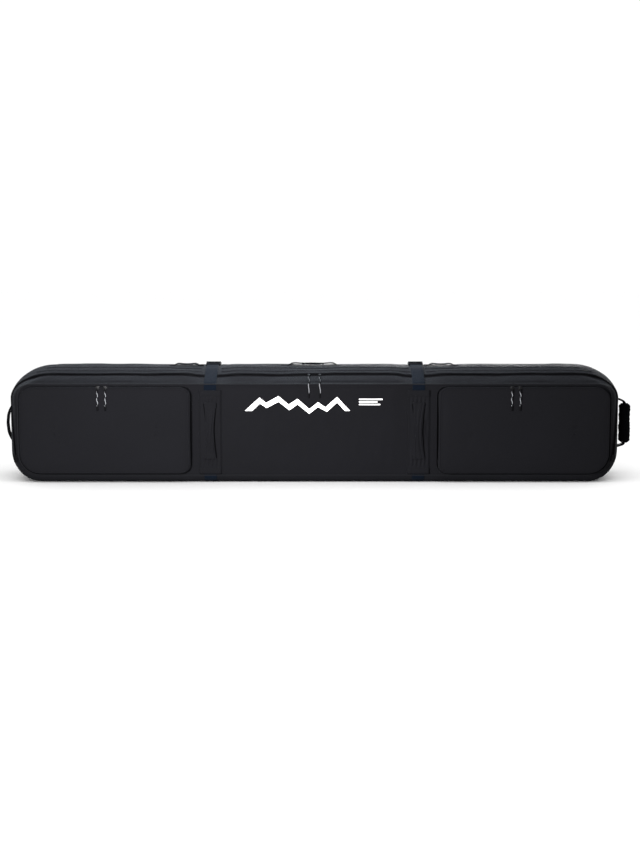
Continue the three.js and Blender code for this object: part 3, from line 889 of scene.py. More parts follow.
def make_piping(tree):
    """Piping round the front and back panels, with a row of stitches inside each."""
    for end, side, body in ENDS:
        line, inward = ring_line(side * BACK, step=7)
        # it stands out from the seam, but not at the hinge
        free = smooth_step(line[:, 2] / MM, 24, 60)[:, None] if body == "lid" else 1.0
        line = line + (np.array([0, side, 0]) * 0.7 - inward * 0.7) * MM * free
        pieces = [tube("piping", run, 1.75, 8, len(run) == len(line), up=(0, 1, 0))
                  for run in clear_runs(line, 3)]
        settle(joined(f"{end}_piping", pieces), body, "shell_fabric", look="binding")
    for end, side, body in ENDS:
        line, _ = ring_line(side * BACK, 6.5)
        runs = clear_runs(line, 2, line[:, 2] > 0.028)
        seam = stitches(f"{end}_seam_stitches", [on_skin(tree, run, 0.05) for run in runs])
        settle(seam, body, "shell_fabric", look="thread")


TOOTH_PITCH = 2.6


def make_main_zip(tree, line):
    """Both halves of the main zip: tape, teeth, a welt beside them and a row of stitches."""
    line = rounded_path(line[line[:, 2] > ZIP_LOW * MM], 3.0 * MM, 4)
    place, out = on_skin(tree, line)
    across = unit(np.cross(out, directions(place)))
    for end, side, body in ENDS:
        tape = skin_band(f"main_zip_tape_{end}", tree, place, across * side, (0.4, 2.2, 4.0, 5.8))
        settle(tape, body, "zip_coil", look="zip_tape")
        # the teeth of the two halves take turns
        even = resampled(np.hstack([place, out, across]), TOOTH_PITCH / 2 * MM)
        at, up, way = np.hsplit(even[(0 if side < 0 else 1)::2], 3)
        up, way = unit(up), unit(way) * side
        base, _ = on_skin(tree, at + way * 1.2 * MM)
        teeth = lozenges(f"main_zip_teeth_{end}", base + up * 0.95 * MM, way, up, (4.0, 1.25, 1.5))
        settle(teeth, body, "zip_coil", f"zip_tape_{end}")
        fold, _ = on_skin(tree, place + across * side * 6.6 * MM, 0.4)
        radius = 1.4 if side > 0 else 0.9
        settle(tube(f"main_zip_welt_{end}", fold, radius, 6), body, "shell_fabric")
        run = on_skin(tree, place + across * side * 9.6 * MM, 0.05)
        settle(stitches(f"main_zip_stitches_{end}", [run]), body, "shell_fabric", look="thread")


def make_zip_ends(tree, line):
    """A sewn tab of webbing over each end of the main zip."""
    line = line[line[:, 2] > ZIP_LOW * MM]
    for name, end, inner in (("left", line[0], line[8]), ("right", line[-1], line[-9])):
        down = unit(end - inner)
        run = end + down * 1.5 * MM + down * (np.linspace(-9, 9, 10) * MM)[:, None]
        place, out = on_skin(tree, run, 3.0)
        across = np.cross(out[5], down)
        settle(strip(f"{name}_zip_end", place, across, 21, 1.6), "tub", "black_webbing")
        sew_boxes(f"{name}_zip_end_stitches", [place[5] + out[5] * 0.9 * MM], across, down, 16, 13)


def make_gusset_seams(tree):
    """Seams that run along the top of the tub, with a fold and a row of stitches each."""
    for index, (y, reach) in enumerate(((-46, 770), (-22, 745), (86, 740))):
        x = np.arange(-reach, reach + 1, 9.0)
        guess = np.stack([x, np.full_like(x, y), np.full_like(x, station(y)[3])], axis=-1) * MM
        fold, _ = on_skin(tree, guess, 0.15)
        runs = [fold[run] for run in runs_where(np.abs(np.abs(x) - STRAP_X) > 19)]
        welts = [tube("welt", run, 1.05, 6) for run in runs]
        settle(joined(f"gusset_welt_{index}", welts), "tub", "shell_fabric", look="binding")
        threads = [on_skin(tree, run + np.array([0, 0.0055, 0]), 0.05) for run in runs]
        settle(stitches(f"gusset_stitches_{index}", threads), "tub", "shell_fabric", look="thread")


# ---------------------------------------------------------------- pockets
POCKET = {"inner": 336, "outer": 806, "low": 26, "high": 264}
POCKET_X = (POCKET["inner"] + POCKET["outer"]) / 2
FLAP_BACK, FLAP_FACE = -122.6, -128.6
POCKET_ZIP_Y = -124.3


def pocket_ring(side, inset, count=220, inner_inset=None):
    """A pocket's outline as points (x, z) once round, made smaller by inset all round."""
    x0 = POCKET["inner"] + (inset if inner_inset is None else inner_inset)
    x1, z0, z1 = POCKET["outer"] - inset, POCKET["low"] + inset, POCKET["high"] - inset
    # each corner's place, the quarter turn that its arc starts at, and its radius
    corners = ((x1, z0, -1, 56), (x1, z1, 0, 36), (x0, z1, 1, 25), (x0, z0, 2, 25))
    points = []
    for x, z, quarter, radius in corners:
        radius -= inset
        cx = x - radius if quarter in (-1, 0) else x + radius
        cz = z + radius if quarter in (-1, 2) else z - radius
        turn = (quarter + np.linspace(0, 1, 12)) * math.pi / 2
        points.append(np.stack([cx + radius * np.cos(turn), cz + radius * np.sin(turn)], axis=1))
    ring = resampled(np.concatenate(points), 1, True)
    at = np.linspace(0, len(ring), count, endpoint=False)
    ring = np.stack([np.interp(at, np.arange(len(ring) + 1), np.append(ring[:, k], ring[0, k]))
                     for k in range(2)], axis=1)
    return ring * np.array([side, 1])


def at_depth(ring, y):
    return np.stack([ring[:, 0], np.full(len(ring), float(y)), ring[:, 1]], axis=1) * MM


def make_flap(name, side):
    """The flap: a padded pillow with a flat back, whose face swells between its sewn edges."""
    count = 220
    shape = ((0.6, FLAP_BACK - 0.2), (0.2, FLAP_BACK - 2.6), (0.9, FLAP_FACE + 0.9), (2.6, FLAP_FACE))
    rings = [at_depth(pocket_ring(side, i, count, i + (6.5 if k > 1 else 3) * (k > 0)), y)
             for k, (i, y) in enumerate(shape)]
    middle = np.array([side * POCKET_X, 0, MIDDLE_Z]) * MM
    for share in (0.955, 0.9, 0.84, 0.76, 0.67, 0.57, 0.46, 0.34, 0.22, 0.1):
        # towards a line along the pocket's middle, so that the rings keep its long shape
        ring = rings[len(shape) - 1]
        spine = np.stack([middle[0] + np.clip(ring[:, 0] - middle[0], -0.13, 0.13),
                          ring[:, 1], np.full(count, middle[2])], axis=1)
        rings.append(spine + (ring - spine) * share)
    faces = ring_faces(len(rings), count)
    faces += [tuple((len(rings) - 1) * count + k for k in range(count)), tuple(range(count))[::-1]]
    obj = turned_outward(new_object(f"{name}_pocket_cover", np.concatenate(rings), faces))
    with editing(obj.data) as bm:
        bmesh.ops.triangulate(bm, faces=[f for f in bm.faces if len(f.verts) > 4])
        inner = [e for e in bm.edges if all(len(f.verts) == 3 for f in e.link_faces)]
        bmesh.ops.beautify_fill(bm, faces=[f for f in bm.faces if len(f.verts) == 3], edges=inner)
    pinned = np.where(points_of(obj)[:, 1] > (FLAP_FACE + 0.4) * MM)[0]
    inflate(obj, pinned, 4.2)
    subdivided(obj)
    inside = smooth_step(-points_of(obj)[:, 1] / MM, 128.8, 131)
    crumple(obj, 1.3 * inside, 110, 10 + side, (1, 1, 1.3))
    crumple(obj, 0.5 * inside, 34, 13 + side, (0.7, 1, 1), sharp=0.4)
    settle(obj, f"{name}_pocket", "shell_fabric", f"{name}_pocket_flap")
    return search_tree(obj)


def make_pocket(name, side):
    """A pocket: its flap, the bellows behind it, piping, stitches and the zip round its edge."""
    face_tree = make_flap(name, side)
    body = f"{name}_pocket"
    wall = [at_depth(pocket_ring(side, inset), y) for inset, y in
            ((0.2, -115.1), (0.1, -116.5), (1.2, -118.6), (0.4, -120.6), (0.2, -122.3),
             (5.6, -122.3), (6.6, -118.6), (5.6, -115.1))]
    gusset = skin(f"{name}_pocket_bellows", np.stack(wall, axis=1), closed=True)
    # the gusset gets the near-black cloth: painted shade between the flap and the lid
    settle(gusset, "lid", "shell_fabric", f"{name}_pocket_gusset", look="bellows")
    foot = at_depth(pocket_ring(side, -1.2), -115.6)
    settle(tube(f"{name}_pocket_foot", foot, 1.1, 6, True, up=(0, 1, 0)), "lid", "shell_fabric")

    edge = at_depth(pocket_ring(side, 1.5, inner_inset=8.0), FLAP_FACE + 0.1)
    piping = tube(f"{name}_pocket_piping", edge, 0.95, 8, True, up=(0, 1, 0))
    settle(piping, body, "shell_fabric")
    run = at_depth(pocket_ring(side, 6.0, inner_inset=13), FLAP_FACE - 1)
    run = resampled(np.vstack([run, run[:1]]), 4 * MM)
    threads = stitches(f"{name}_pocket_stitches", [on_skin(face_tree, run, 0.05)])
    settle(threads, body, "shell_fabric", look="thread")

    ring = at_depth(pocket_ring(side, 0.4, 400), POCKET_ZIP_Y)
    ring = np.roll(ring, -int(np.argmin(ring[:, 2])), 0)
    line = resampled(ring[ring[:, 2] > ZIP_LOW * MM], 1.3 * MM)
    out = unit(np.cross(directions(line), (0, -1, 0)))
    middle = np.array([side * POCKET_X, POCKET_ZIP_Y, MIDDLE_Z]) * MM
    out *= np.sign(np.sum((line - middle) * out, axis=1, keepdims=True))
    odd = (np.arange(len(line)) % 2)[:, None] * 2 - 1
    at = line + np.array([0, 1, 0]) * odd * 0.55 * MM + out * 0.2 * MM
    teeth = lozenges(f"{name}_pocket_teeth", at, (0, 1, 0), out, (2.2, 1.1, 1.3))
    settle(teeth, body, "zip_coil", f"{name}_pocket_zip")


# ---------------------------------------------------------------- straps, patches and buckles
FRONT_STRAP = ((-116.2, 21.9), (-116.35, 268), (-116, 271.8), (-95.8, 281), (-74, 289.8),
               (-60.7, 294.8), (-45.6, 300.3), (-25.5, 306.3), (-0.3, 310.9), (22, 312.6))
EDGE_RADIUS = 20
LOW_TURN = tuple((-115 + EDGE_RADIUS - (EDGE_RADIUS + 0.2) * math.cos(a),
                  EDGE_RADIUS - 0.3 - (EDGE_RADIUS - 1.4) * math.sin(a))
                 for a in np.linspace(0.04, math.pi / 2, 8))
BACK_STRAP = (*LOW_TURN, (84, 1), (103, 3.6), (113.5, 13.5), (117.1, 27), (117.1, 281), (111.5, 294.5),
              (101, 305), (86, 311.1), (69, 312))


def in_plane(x, path):
    return np.array([(x, y, z) for y, z in path], float) * MM


def level_line(x0, x1, y, z, count=2):
    """Even points from left to right."""
    return np.array([(x, y, z) for x in np.linspace(x0, x1, count)]) * MM


def sew_boxes(name, places, right, up, width, height, slot="black_webbing", look="thread"):
    """A sewn box with a cross in it at each of these places, on flat webbing."""
    right, up = np.array(right, float), np.array(up, float)
    out = unit(np.cross(right, up))
    boxes = []
    for middle in places:
        corners = np.array([middle + right * sx * width / 2 * MM + up * sy * height / 2 * MM
                            for sx, sy in ((-1, -1), (1, -1), (1, 1), (-1, 1))])
        lines = [corners[[0, 1, 2, 3, 0]], corners[[0, 2]], corners[[1, 3]]]
        boxes.append(stitches("box", [(line, out) for line in lines], 2.4, 0.9, 0.7))
    settle(joined(name, boxes), "tub", slot, look=look)


def pad(name, middle, half, z0, z1, back, face, crown, columns, rows):
    """A flat-backed pad on the front, with round edges and a swelling face."""
    u, v = np.meshgrid(np.linspace(-1, 1, columns), np.linspace(-1, 1, rows))
    near = np.minimum(half * (1 - np.abs(u)), (z1 - z0) / 2 * (1 - np.abs(v)))
    edge = np.sqrt(np.clip(1 - (1 - np.clip(near / 2.2, 0, 1)) ** 2, 0, 1))
    y = back + (face - back) * (0.25 + 0.75 * edge) - smooth_step(near, 0, 16) * crown
    x, z = middle + u * half, (z0 + z1) / 2 + v * (z1 - z0) / 2
    front = np.stack([x, y, z], axis=-1).reshape(-1, 3) * MM
    rear = np.stack([x, np.full_like(x, back), z], axis=-1).reshape(-1, 3) * MM
    ring = rim(np.arange(rows * columns).reshape(rows, columns))
    base = len(front) + np.arange(len(ring))
    faces = grid_faces(rows, columns)
    faces += zip(np.roll(ring, -1), ring, base, np.roll(base, -1))
    faces.append(tuple(base))
    return turned_outward(new_object(name, np.concatenate([front, rear[ring]]), faces))


FORWARD = np.array([0, -1.0, 0])


def make_patch(name, x):
    """The sewn sleeve that a compression strap runs through, with a band at each end."""
    low, high = 24, 255
    patch = pad(f"{name}_patch_cover", x, 30, low, high, -115.2, -119.2, 1.2, 34, 96)
    points = points_of(patch)
    u, z = (points[:, 0] / MM - x) / 30, points[:, 2] / MM
    # folds that gather towards the pinched sleeve, and the strap's raised channel under the cloth
    sleeve = smooth_step(z, 62, 80) * smooth_step(-z, -224, -206)
    waist = 0.55 + 0.45 * np.abs((z - 150) / 85) ** 1.3
    folds = np.sin((u / waist) * 7.5 + np.sin(z / 19) * 0.5) * 1.3 * sleeve
    pleats = np.sin(u * 17 + np.sin(z / 14) * 0.8) * (1.6 - 1.0 * sleeve)
    folds += np.cos(u * 3.0) * 0.6 + pleats * smooth_step(z, 40, 52) * smooth_step(-z, -240, -228)
    front = points[:, 1] < -118 * MM
    points[:, 1] -= folds * front * np.sqrt(np.clip(1 - np.abs(u), 0, 1)) * MM
    put_points(patch, points)
    crumple(patch, 0.8 * front, 26, 20 + x, (1, 1, 0.5))
    settle(patch, "lid", "shell_fabric", f"{name}_strap_patch")
    bands, runs = [], []
    for z0, z1 in ((238, high - 0.5), (low + 0.5, 41)):
        line = level_line(x - 29.6, x + 29.6, -119.9, (z0 + z1) / 2, 14)
        line[:, 1] -= 0.8 * MM * np.cos(np.linspace(-1.5, 1.5, 14))
        bands.append(strip("band", line, (0, 0, 1), z1 - z0, 1.3))
        for z in (z0 + 2.5, z1 - 2.5):
            run = line[1:-1].copy()
            run[:, 2], run[:, 1] = z * MM, line[1:-1, 1] - 0.7 * MM
            runs.append((run, FORWARD))
    runs += [(in_plane(x + dx, [(-119.4, 44), (-119.4, 236)]), FORWARD) for dx in (-27, 27)]
    settle(joined(f"{name}_patch_bands", bands), "lid", "shell_fabric")
    settle(stitches(f"{name}_patch_stitches", runs), "lid", "shell_fabric", look="thread")
    for way, dx in (("a", -30.4), ("b", 30.4)):
        edge = in_plane(x + dx, [(-116.2, z) for z in np.linspace(low, high, 30)])
        settle(tube(f"{name}_patch_edge_{way}", edge, 1.0, 8), "lid", "shell_fabric")


def make_sleeve(name, x):
    """The grab sleeve: a soft band pinched at its waist, folded along its length."""
    rows, around = 64, 40
    z = np.linspace(65, 221, rows)
    t = (z - 65) / 156
    wide = 9 + 8 * np.abs(2 * t - 1) ** 1.6
    arch = 6.0 * smooth_step(t, 0.08, 0.4) * smooth_step(1 - t, 0.08, 0.4)
    turn = np.arange(around) * math.tau / around
    flat = np.abs(np.cos(turn)) ** 0.6 * np.sign(np.cos(turn))
    rings = []
    for k in range(rows):
        rise = 1.6 + 0.6 * arch[k] / 6
        fold = 1.8 * np.sin(turn * 9 + 2.4 * math.sin(t[k] * 5 + x)) * (0.45 + 0.55 * arch[k] / 6)
        y = -121.3 - arch[k] - (rise + fold * (np.sin(turn) > 0.2)) * np.sin(turn)
        rings.append(np.stack([x + (wide[k] + fold * 0.5) * flat, y, np.full(around, z[k])], axis=1))
    sleeve = skin(f"{name}_grab_cover", np.array(rings) * MM)
    crumple(sleeve, 1.1, 14, 31 + x, (1, 1, 0.25), sharp=0.5)
    settle(sleeve, "lid", "shell_fabric", f"{name}_grab_sleeve")
    # a near-black strip under the sleeve, wider than the sleeve's waist: painted shadow showing at the
    # sleeve's edges
    line = in_plane(x, [(-120.3, z) for z in np.linspace(68, 218, 50)])
    reach = (12.5 + 6.5 * np.abs(np.linspace(-1, 1, 50)) ** 1.6) * 2
    lining = strip(f"{name}_grab_painted_shadow", line, (1, 0, 0), reach, 1.3)
    settle(lining, "lid", "shell_fabric", look="bellows")
    runs = [(level_line(x - 15, x + 15, -122.9, height), FORWARD) for height in (67.5, 218.5)]
    sewn = stitches(f"{name}_grab_stitches", runs, 2.6, 1.1)
    settle(sewn, "lid", "shell_fabric", look="thread")


def make_strap(name, x):
    """A compression strap: its front half bends from the lid to the buckle's plug."""
    front = rounded_path(in_plane(x, FRONT_STRAP), 4 * MM, 3)
    band = strip(f"{name}_strap", front, (-1, 0, 0), STRAP_WIDTH, STRAP_THICK)
    settle(band, None, "strap_webbing", f"{name}_strap_front", f"{name}_strap_tongue")
    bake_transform(band)
    back = rounded_path(in_plane(x, BACK_STRAP), 4 * MM, 4)
    band = strip(f"{name}_strap_rear", back, (1, 0, 0), STRAP_WIDTH, STRAP_THICK)
    settle(band, "tub", "strap_webbing", f"{name}_strap_back")
    sew_boxes(f"{name}_strap_rear_stitches", [np.array([x, 118.1, 60]) * MM], (-1, 0, 0), (0, 0, 1),
              26, 24, "strap_webbing", "strap_thread")
    line = level_line(x - 20, x + 20, 119.3, 262, 10)
    keeper = strip(f"{name}_strap_keeper", line, (0, 0, 1), 12, 1.6)
    settle(keeper, "tub", "black_webbing")


def make_buckle(name, x):
    refined(f"{name}_buckle_socket", f"{name}_socket_body", "tub", "buckle_plastic", 1.3)
    refined(f"{name}_buckle_plug", f"{name}_plug_body", f"{name}_buckle", "buckle_plastic", 0.9)
    at = np.array([(x, y, 317.7) for y in (26.5, 29, 31.5)]) * MM
    ribs = lozenges(f"{name}_plug_ribs", at, (1, 0, 0), (0, 0, 1), (24, 1.1, 1.0))
    settle(ribs, f"{name}_buckle", "buckle_plastic")
    at = np.array([(x + s * 20.3, 52, 314.2) for s in (-1, 1)]) * MM
    buttons = lozenges(f"{name}_socket_buttons", at, (0, 1, 0), [(-1, 0, 0), (1, 0, 0)],
                       (17, 4.6, 3.0))
    settle(buttons, "tub", "buckle_plastic", look="housing_plastic")
    at = np.array([(x, 66.5, 314.9), (x, 62.5, 316.3)]) * MM
    slope = unit(np.array([0, 0.4, 0.9]))
    bars = lozenges(f"{name}_socket_bars", at, (1, 0, 0), slope, (30, 1.6, 1.4))
    settle(bars, "tub", "buckle_plastic")


# ---------------------------------------------------------------- sliders and pulls
def slider_shape(name, middle, along, out, scale=1.0):
    """A zip slider: its plate and the bridge that holds the pull."""
    along, out = unit(np.array(along, float)), unit(np.array(out, float))
    basis = np.array([along, np.cross(out, along), out])

    def place(points):
        return np.asarray(middle, float) * MM + (np.asarray(points, float) * scale * MM) @ basis

    outline = [(-6.6, 3.2), (-5.4, 4.9), (-1, 5.6), (3.2, 4.4), (6.2, 2.6), (6.9, 0)]
    outline += [(u, -v) for u, v in outline[-2::-1]]
    outline += [(-5.0, -1.6), (-4.6, 0), (-5.0, 1.6)]
    rings = [[(u * k, v * k, w) for u, v in outline]
             for k, w in ((0.93, -2.1), (1, -1.6), (1, -0.9), (0.94, -0.5))]
    plate = skin("plate", [place(ring) for ring in rings])
    section = [(-1.25, -0.35), (1.25, -0.35), (1.25, 0.35), (-1.25, 0.35)]
    rings = []
    for t in np.linspace(0, math.pi, 9):
        out_of_arch = np.array([-math.cos(t), 0, math.sin(t)])
        u, w = -4.2 * math.cos(t), -0.6 + 2.5 * math.sin(t)
        rings.append(place([np.array([u, a, w]) + out_of_arch * b for a, b in section]))
    piece = joined(name, [plate, skin("bridge", rings)])
    bevel = piece.modifiers.new("edges", "BEVEL")
    bevel.width, bevel.segments = 0.22 * MM, 2
    applied(piece).data.shade_smooth()
    piece.data.set_sharp_from_angle(angle=math.radians(40))
    return piece


def cord_pull(name, path, node, sheath, turns=5.0):
    """A pull of doubled cord, light over dark, twisted; sheathed at its top and moulded at its end."""
    path = rounded_path(np.asarray(path, float) * MM, 1.4 * MM, 3)
    side = np.array([1.0, 0, 0])
    up = unit(np.cross(side, directions(path)))
    t = np.linspace(0, 1, len(path))
    turn = (t * turns * math.pi + 0.3)[:, None]
    reach = np.interp(t, [0, 0.08, 0.9, 1], [0.8, 1.05, 1.05, 0.8])[:, None] * MM
    offset = (side * np.cos(turn) + up * np.sin(turn) * 0.6) * reach
    strands = []
    for way, look in ((1, "pull_cord"), (-1, "pull_tracer")):
        strands.append(tube("strand", path + offset * way, 1.05, 8, up=(1, 0.1, 0)))
        strands[-1].data.materials.append(M[look])
    settle(joined(f"{name}_cord", strands), node, "pull_cord", node, look=OWN)
    far = distances(path)
    ends = []
    for start, stop, radius in ((0, sheath * MM, 1.75), (far[-1] - 0.0125, far[-1], 2.45)):
        at = np.linspace(start, stop, 13)
        line = np.stack([np.interp(at, far, path[:, k]) for k in range(3)], axis=1)
        ribbed = np.array([0.75, 0.96, *([1, 0.93] * 4), 1, 0.96, 0.74]) * radius
        ends.append(tube("end", line, ribbed, 12, up=(1, 0.1, 0)))
    settle(joined(f"{name}_ends", ends), node, "pull_cord", look="pull_end")


def make_sliders():
    """Two sliders on the main zip and two on each pocket's, each with its pull."""
    tilt = math.atan2(ZIP[1] - 270, ZIP[0] - FRONT)
    out = np.array([0, -math.sin(tilt), math.cos(tilt)])
    for end, side in SIDES.items():
        x = side * 15
        middle = np.array([x, *ZIP]) + out * 3.9
        piece = slider_shape(f"main_{end}_slider", middle, (side, 0, 0), out)
        settle(piece, f"main_slider_{end}", "slider_metal", f"main_slider_{end}")
        path = [(x, -77.0, 293.6), (x, -83, 291.6), (x, -98, 282.8), (x, -117, 274.6),
                (x, -119.4, 268), (x + side * 0.6, -119.5, 250), (x, -119.5, 233.4)]
        cord_pull(f"main_{end}_pull", path, f"main_pull_{end}", 47)
    for name, places in (("left", (-590, -569)), ("right", (538, 560))):
        for (end, way), x in zip(SIDES.items(), places):
            piece = slider_shape(f"{name}_pocket_{end}_slider", (x, -130.6, 262), (way, 0, 0), FORWARD,
                                 0.86)
            node = f"{name}_pocket_slider_{end}"
            settle(piece, node, "slider_metal", node)
            path = [(x, -134.4, 260), (x, -135.6, 256), (x + way * 0.8, -135.8, 232),
                    (x, -135.6, 200.4)]
            cord_pull(f"{name}_pocket_{end}_pull", path, f"{name}_pocket_pull_{end}", 12, 6.0)


# ---------------------------------------------------------------- handles
def make_top_handles():
    """The handle and the two loops on the top, sewn down at their feet."""
    seat = 311.9  # the middle of webbing that lies on the top
    # each loop lies slack: a hump over each foot, and a lower middle
    t = np.array([-1, -0.93, -0.78, -0.5, -0.2, 0.2, 0.5, 0.78, 0.93, 1])
    humps = np.array([0, 0.75, 1, 0.78, 0.62, 0.62, 0.78, 1, 0.75, 0])
    for name, middle, half, rise, foot in (("top_handle", -4.5, 66, 6.6, 24),
                                           ("left_top_loop", -359, 32, 5.0, 15),
                                           ("right_top_loop", 356, 33, 5.0, 15)):
        arch = np.stack([middle + half * t, np.full(len(t), 20.0), seat + 0.4 + rise * humps], axis=1)
        left = [(middle - half - foot, 20, seat), (middle - half - 4, 20, seat)]
        right = [(middle + half + 4, 20, seat), (middle + half + foot, 20, seat)]
        line = rounded_path(np.vstack([left, arch, right]) * MM, 2.5 * MM, 5)
        # the long one is folded narrower inside its wrap
        folded = (half > 40) * (1 - smooth_step(np.abs(line[:, 0] / MM - middle), 28, 42))
        obj = strip(f"{name}_webbing", line, (0, 1, 0), HANDLE_WIDTH - 5 * folded, 2.2)
        settle(obj, None, "black_webbing", name)
        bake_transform(obj)
        places = [np.array([middle + way * (half + foot / 2 + 1), 20, seat + 1.2]) * MM
                  for way in (-1, 1)]
        sew_boxes(f"{name}_stitches", places, (1, 0, 0), (0, 1, 0), foot - 5, 18)
    line = level_line(-36, 27, 20, seat + 5, 26)
    wrap = subdivided(strip("top_handle_wrap", line, (0, 1, 0), 23.6, 3.7))
    crumple(wrap, 0.7, 11, 45, (2.2, 0.5, 1))
    settle(wrap, "top_handle", "grip_fabric")


END = 845  # how far out the end handles sway from
GRIP_X = 871


def end_webbing(name, node, line, thick, out):
    """A loop of webbing on one end of the bag, sewn to the tub."""
    line = rounded_path(line * MM, 2.5 * MM, 4)
    low, more, start, stop = thick
    swollen = low + more * smooth_step(line[:, 0] / MM * out, END + start, END + stop)
    obj = strip(name, line, (0, 1, 0), HANDLE_WIDTH, swollen)
    settle(obj, None, "black_webbing", node)
    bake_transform(obj)


def make_end_handles():
    t = np.array([-1, -0.8, -0.45, 0, 0.45, 0.8, 1])
    bow = -END - 1.2 - 15.7 * (1 - np.abs(t) ** 2.4)
    bulge = np.stack([bow, np.zeros(7), 151.5 + 53.5 * t], axis=1)
    low = [(0.6 - END, 0, 82), (-0.6 - END, 0, 94)]
    high = [(-0.6 - END, 0, 209), (0.6 - END, 0, 221)]
    end_webbing("left_end_webbing", "left_end_handle",
                np.vstack([low, bulge, high]), (2.4, 2.6, 3, 12), -1)
    places = [np.array([-END - 1.4, 0, z]) * MM for z in (88, 215)]
    sew_boxes("left_end_stitches", places, (0, -1, 0), (0, 0, 1), 18, 9)

    pull = [(END - 0.8, 0, 66), (END + 0.2, 0, 84), (858, 0, 88), (868.5, 0, 91), (GRIP_X, 0, 96),
            (GRIP_X, 0, 206), (868.5, 0, 212), (858, 0, 217), (END + 0.2, 0, 221), (END - 1.0, 0, 236)]
    end_webbing("right_end_strap", "right_end_webbing", np.array(pull, float),
                (2.8, 2.4, 1, 9), 1)
    places = [np.array([END + 1.9, 0, z]) * MM for z in (75, 229)]
    sew_boxes("right_end_stitches", places, (0, 1, 0), (0, 0, 1), 18, 12)
    make_grip()


def make_grip():
    """The padded cover of the pull handle."""
    rows, around = 60, 56
    turn = np.arange(around) * math.tau / around
    c, s = np.cos(turn), np.sin(turn)
    rings = []
    for k, z in enumerate(np.linspace(96.5, 205.5, rows)):
        t = k / (rows - 1)
        size = math.sqrt(min(1, 0.35 + min(t, 1 - t) * (rows - 1) / 5))
        ridge = 0.4 * math.sin(z * 0.62 + 2 * math.sin(z * 0.09)) - 0.8 * abs(2 * t - 1) ** 3
        # the cover is drawn tight on one side of the hand's curve and gathers on the other
        gather = 0.8 * np.sin(z * 0.21 + 2.2 * s) * (c < 0) * np.abs(c)
        x = GRIP_X + (14.6 + ridge) * size * np.sign(c) * np.abs(c) ** 0.7 + gather
        y = (14.4 + ridge) * size * np.sign(s) * np.abs(s) ** 0.7
        rings.append(np.stack([x, y, np.full(around, z)], axis=1))
    grip = skin("right_end_pad", np.array(rings) * MM)
    crumple(grip, 1.9, 30, 41, (1, 1, 0.7), sharp=0.5)
    crumple(grip, 1.0, 11, 42, (1, 1, 2.2), sharp=0.5)
    settle(grip, "right_end_handle", "grip_fabric", "right_end_grip")
    outer, inner = (np.array([(GRIP_X + dx, 0, z) for z in np.linspace(102, 200, 20)]) * MM
                    for dx in (14.0, -13.6))
    seams = stitches("right_end_pad_stitches", [(outer, (1, 0, 0)), (inner, (-1, 0, 0))])
    settle(seams, "right_end_handle", "grip_fabric", look="thread")


# ---------------------------------------------------------------- wheels, rails and trim
def make_wheel(name, z):
    """One wheel with its housing, and the skid rail beside it."""
    wheel = f"wheel_{name}"
    refined(f"wheel_housing_{name}", f"{name}_wheel_housing", "tub", "housing_plastic", 1.6)
    tread = mirrored([(28, -12), (31, -12.6), (34, -12), (37, -9), (37.6, -7.2), (36.9, -6.4),
                      (36.9, -5.6), (38, -4.6), (38, -1), (36.9, -0.5)])
    middle = np.array([WHEEL_X, WHEEL_Y, z]) * MM
    tyre = lathe(f"{name}_wheel_tread", tread, middle, 96)
    settle(tyre, wheel, "tyre", f"wheel_tyre_{name}")
    rimmed = mirrored([(4.2, -13), (9, -13), (10.5, -12), (11.4, -9.5), (13, -8.6), (22, -8.6),
                       (24.5, -10), (25.5, -11.2), (27.8, -11.2)])
    hub = lathe(f"{name}_wheel_hub", rimmed, middle, 72)
    hub.data.set_sharp_from_angle(angle=math.radians(30))
    settle(hub, wheel, "hub_plastic", f"wheel_hub_{name}")
    turn = np.arange(5) * math.tau / 5
    way = np.stack([np.cos(turn), np.sin(turn), np.zeros(5)], axis=1)
    spokes = []
    for face in (-1, 1):
        at = np.array([17.6 * np.cos(turn), 17.6 * np.sin(turn), np.full(5, face * 8.9)]).T * MM
        spokes.append(lozenges("spokes", at + middle, way, (0, 0, face), (14, 4.5, 2.4)))
    settle(joined(f"{name}_wheel_spokes", spokes), wheel, "hub_plastic")
    screws = []
    for side in (-1, 1):
        head = lathe("screw", [(0.01, -0.5), (3.4, -0.5), (3.4, 0.6), (2.6, 1.3), (1.4, 1.4),
                               (0.9, 0.5), (0.01, 0.5)], (0, 0, 0), 20)
        place = np.array([-775, 116.2, z + side * 18]) * MM - np.array([0, 0.0008, 0])
        head.data.transform(Matrix.Translation(place) @ Matrix.Rotation(-math.pi / 2, 4, "X"))
        screws.append(head)
    settle(joined(f"{name}_housing_screws", screws), "tub", "axle_steel")

    refined(f"skid_rail_{name}", f"{name}_skid_rail", "tub", "housing_plastic", 1.8, 25)
    at = np.array([(x, 126.1, z) for x in np.arange(-722, -345, 7.0)]) * MM
    ribs = lozenges(f"{name}_rail_ribs", at, (0, 0, 1), (0, 1, 0), (8.5, 2.2, 1.0))
    settle(ribs, "tub", "housing_plastic")


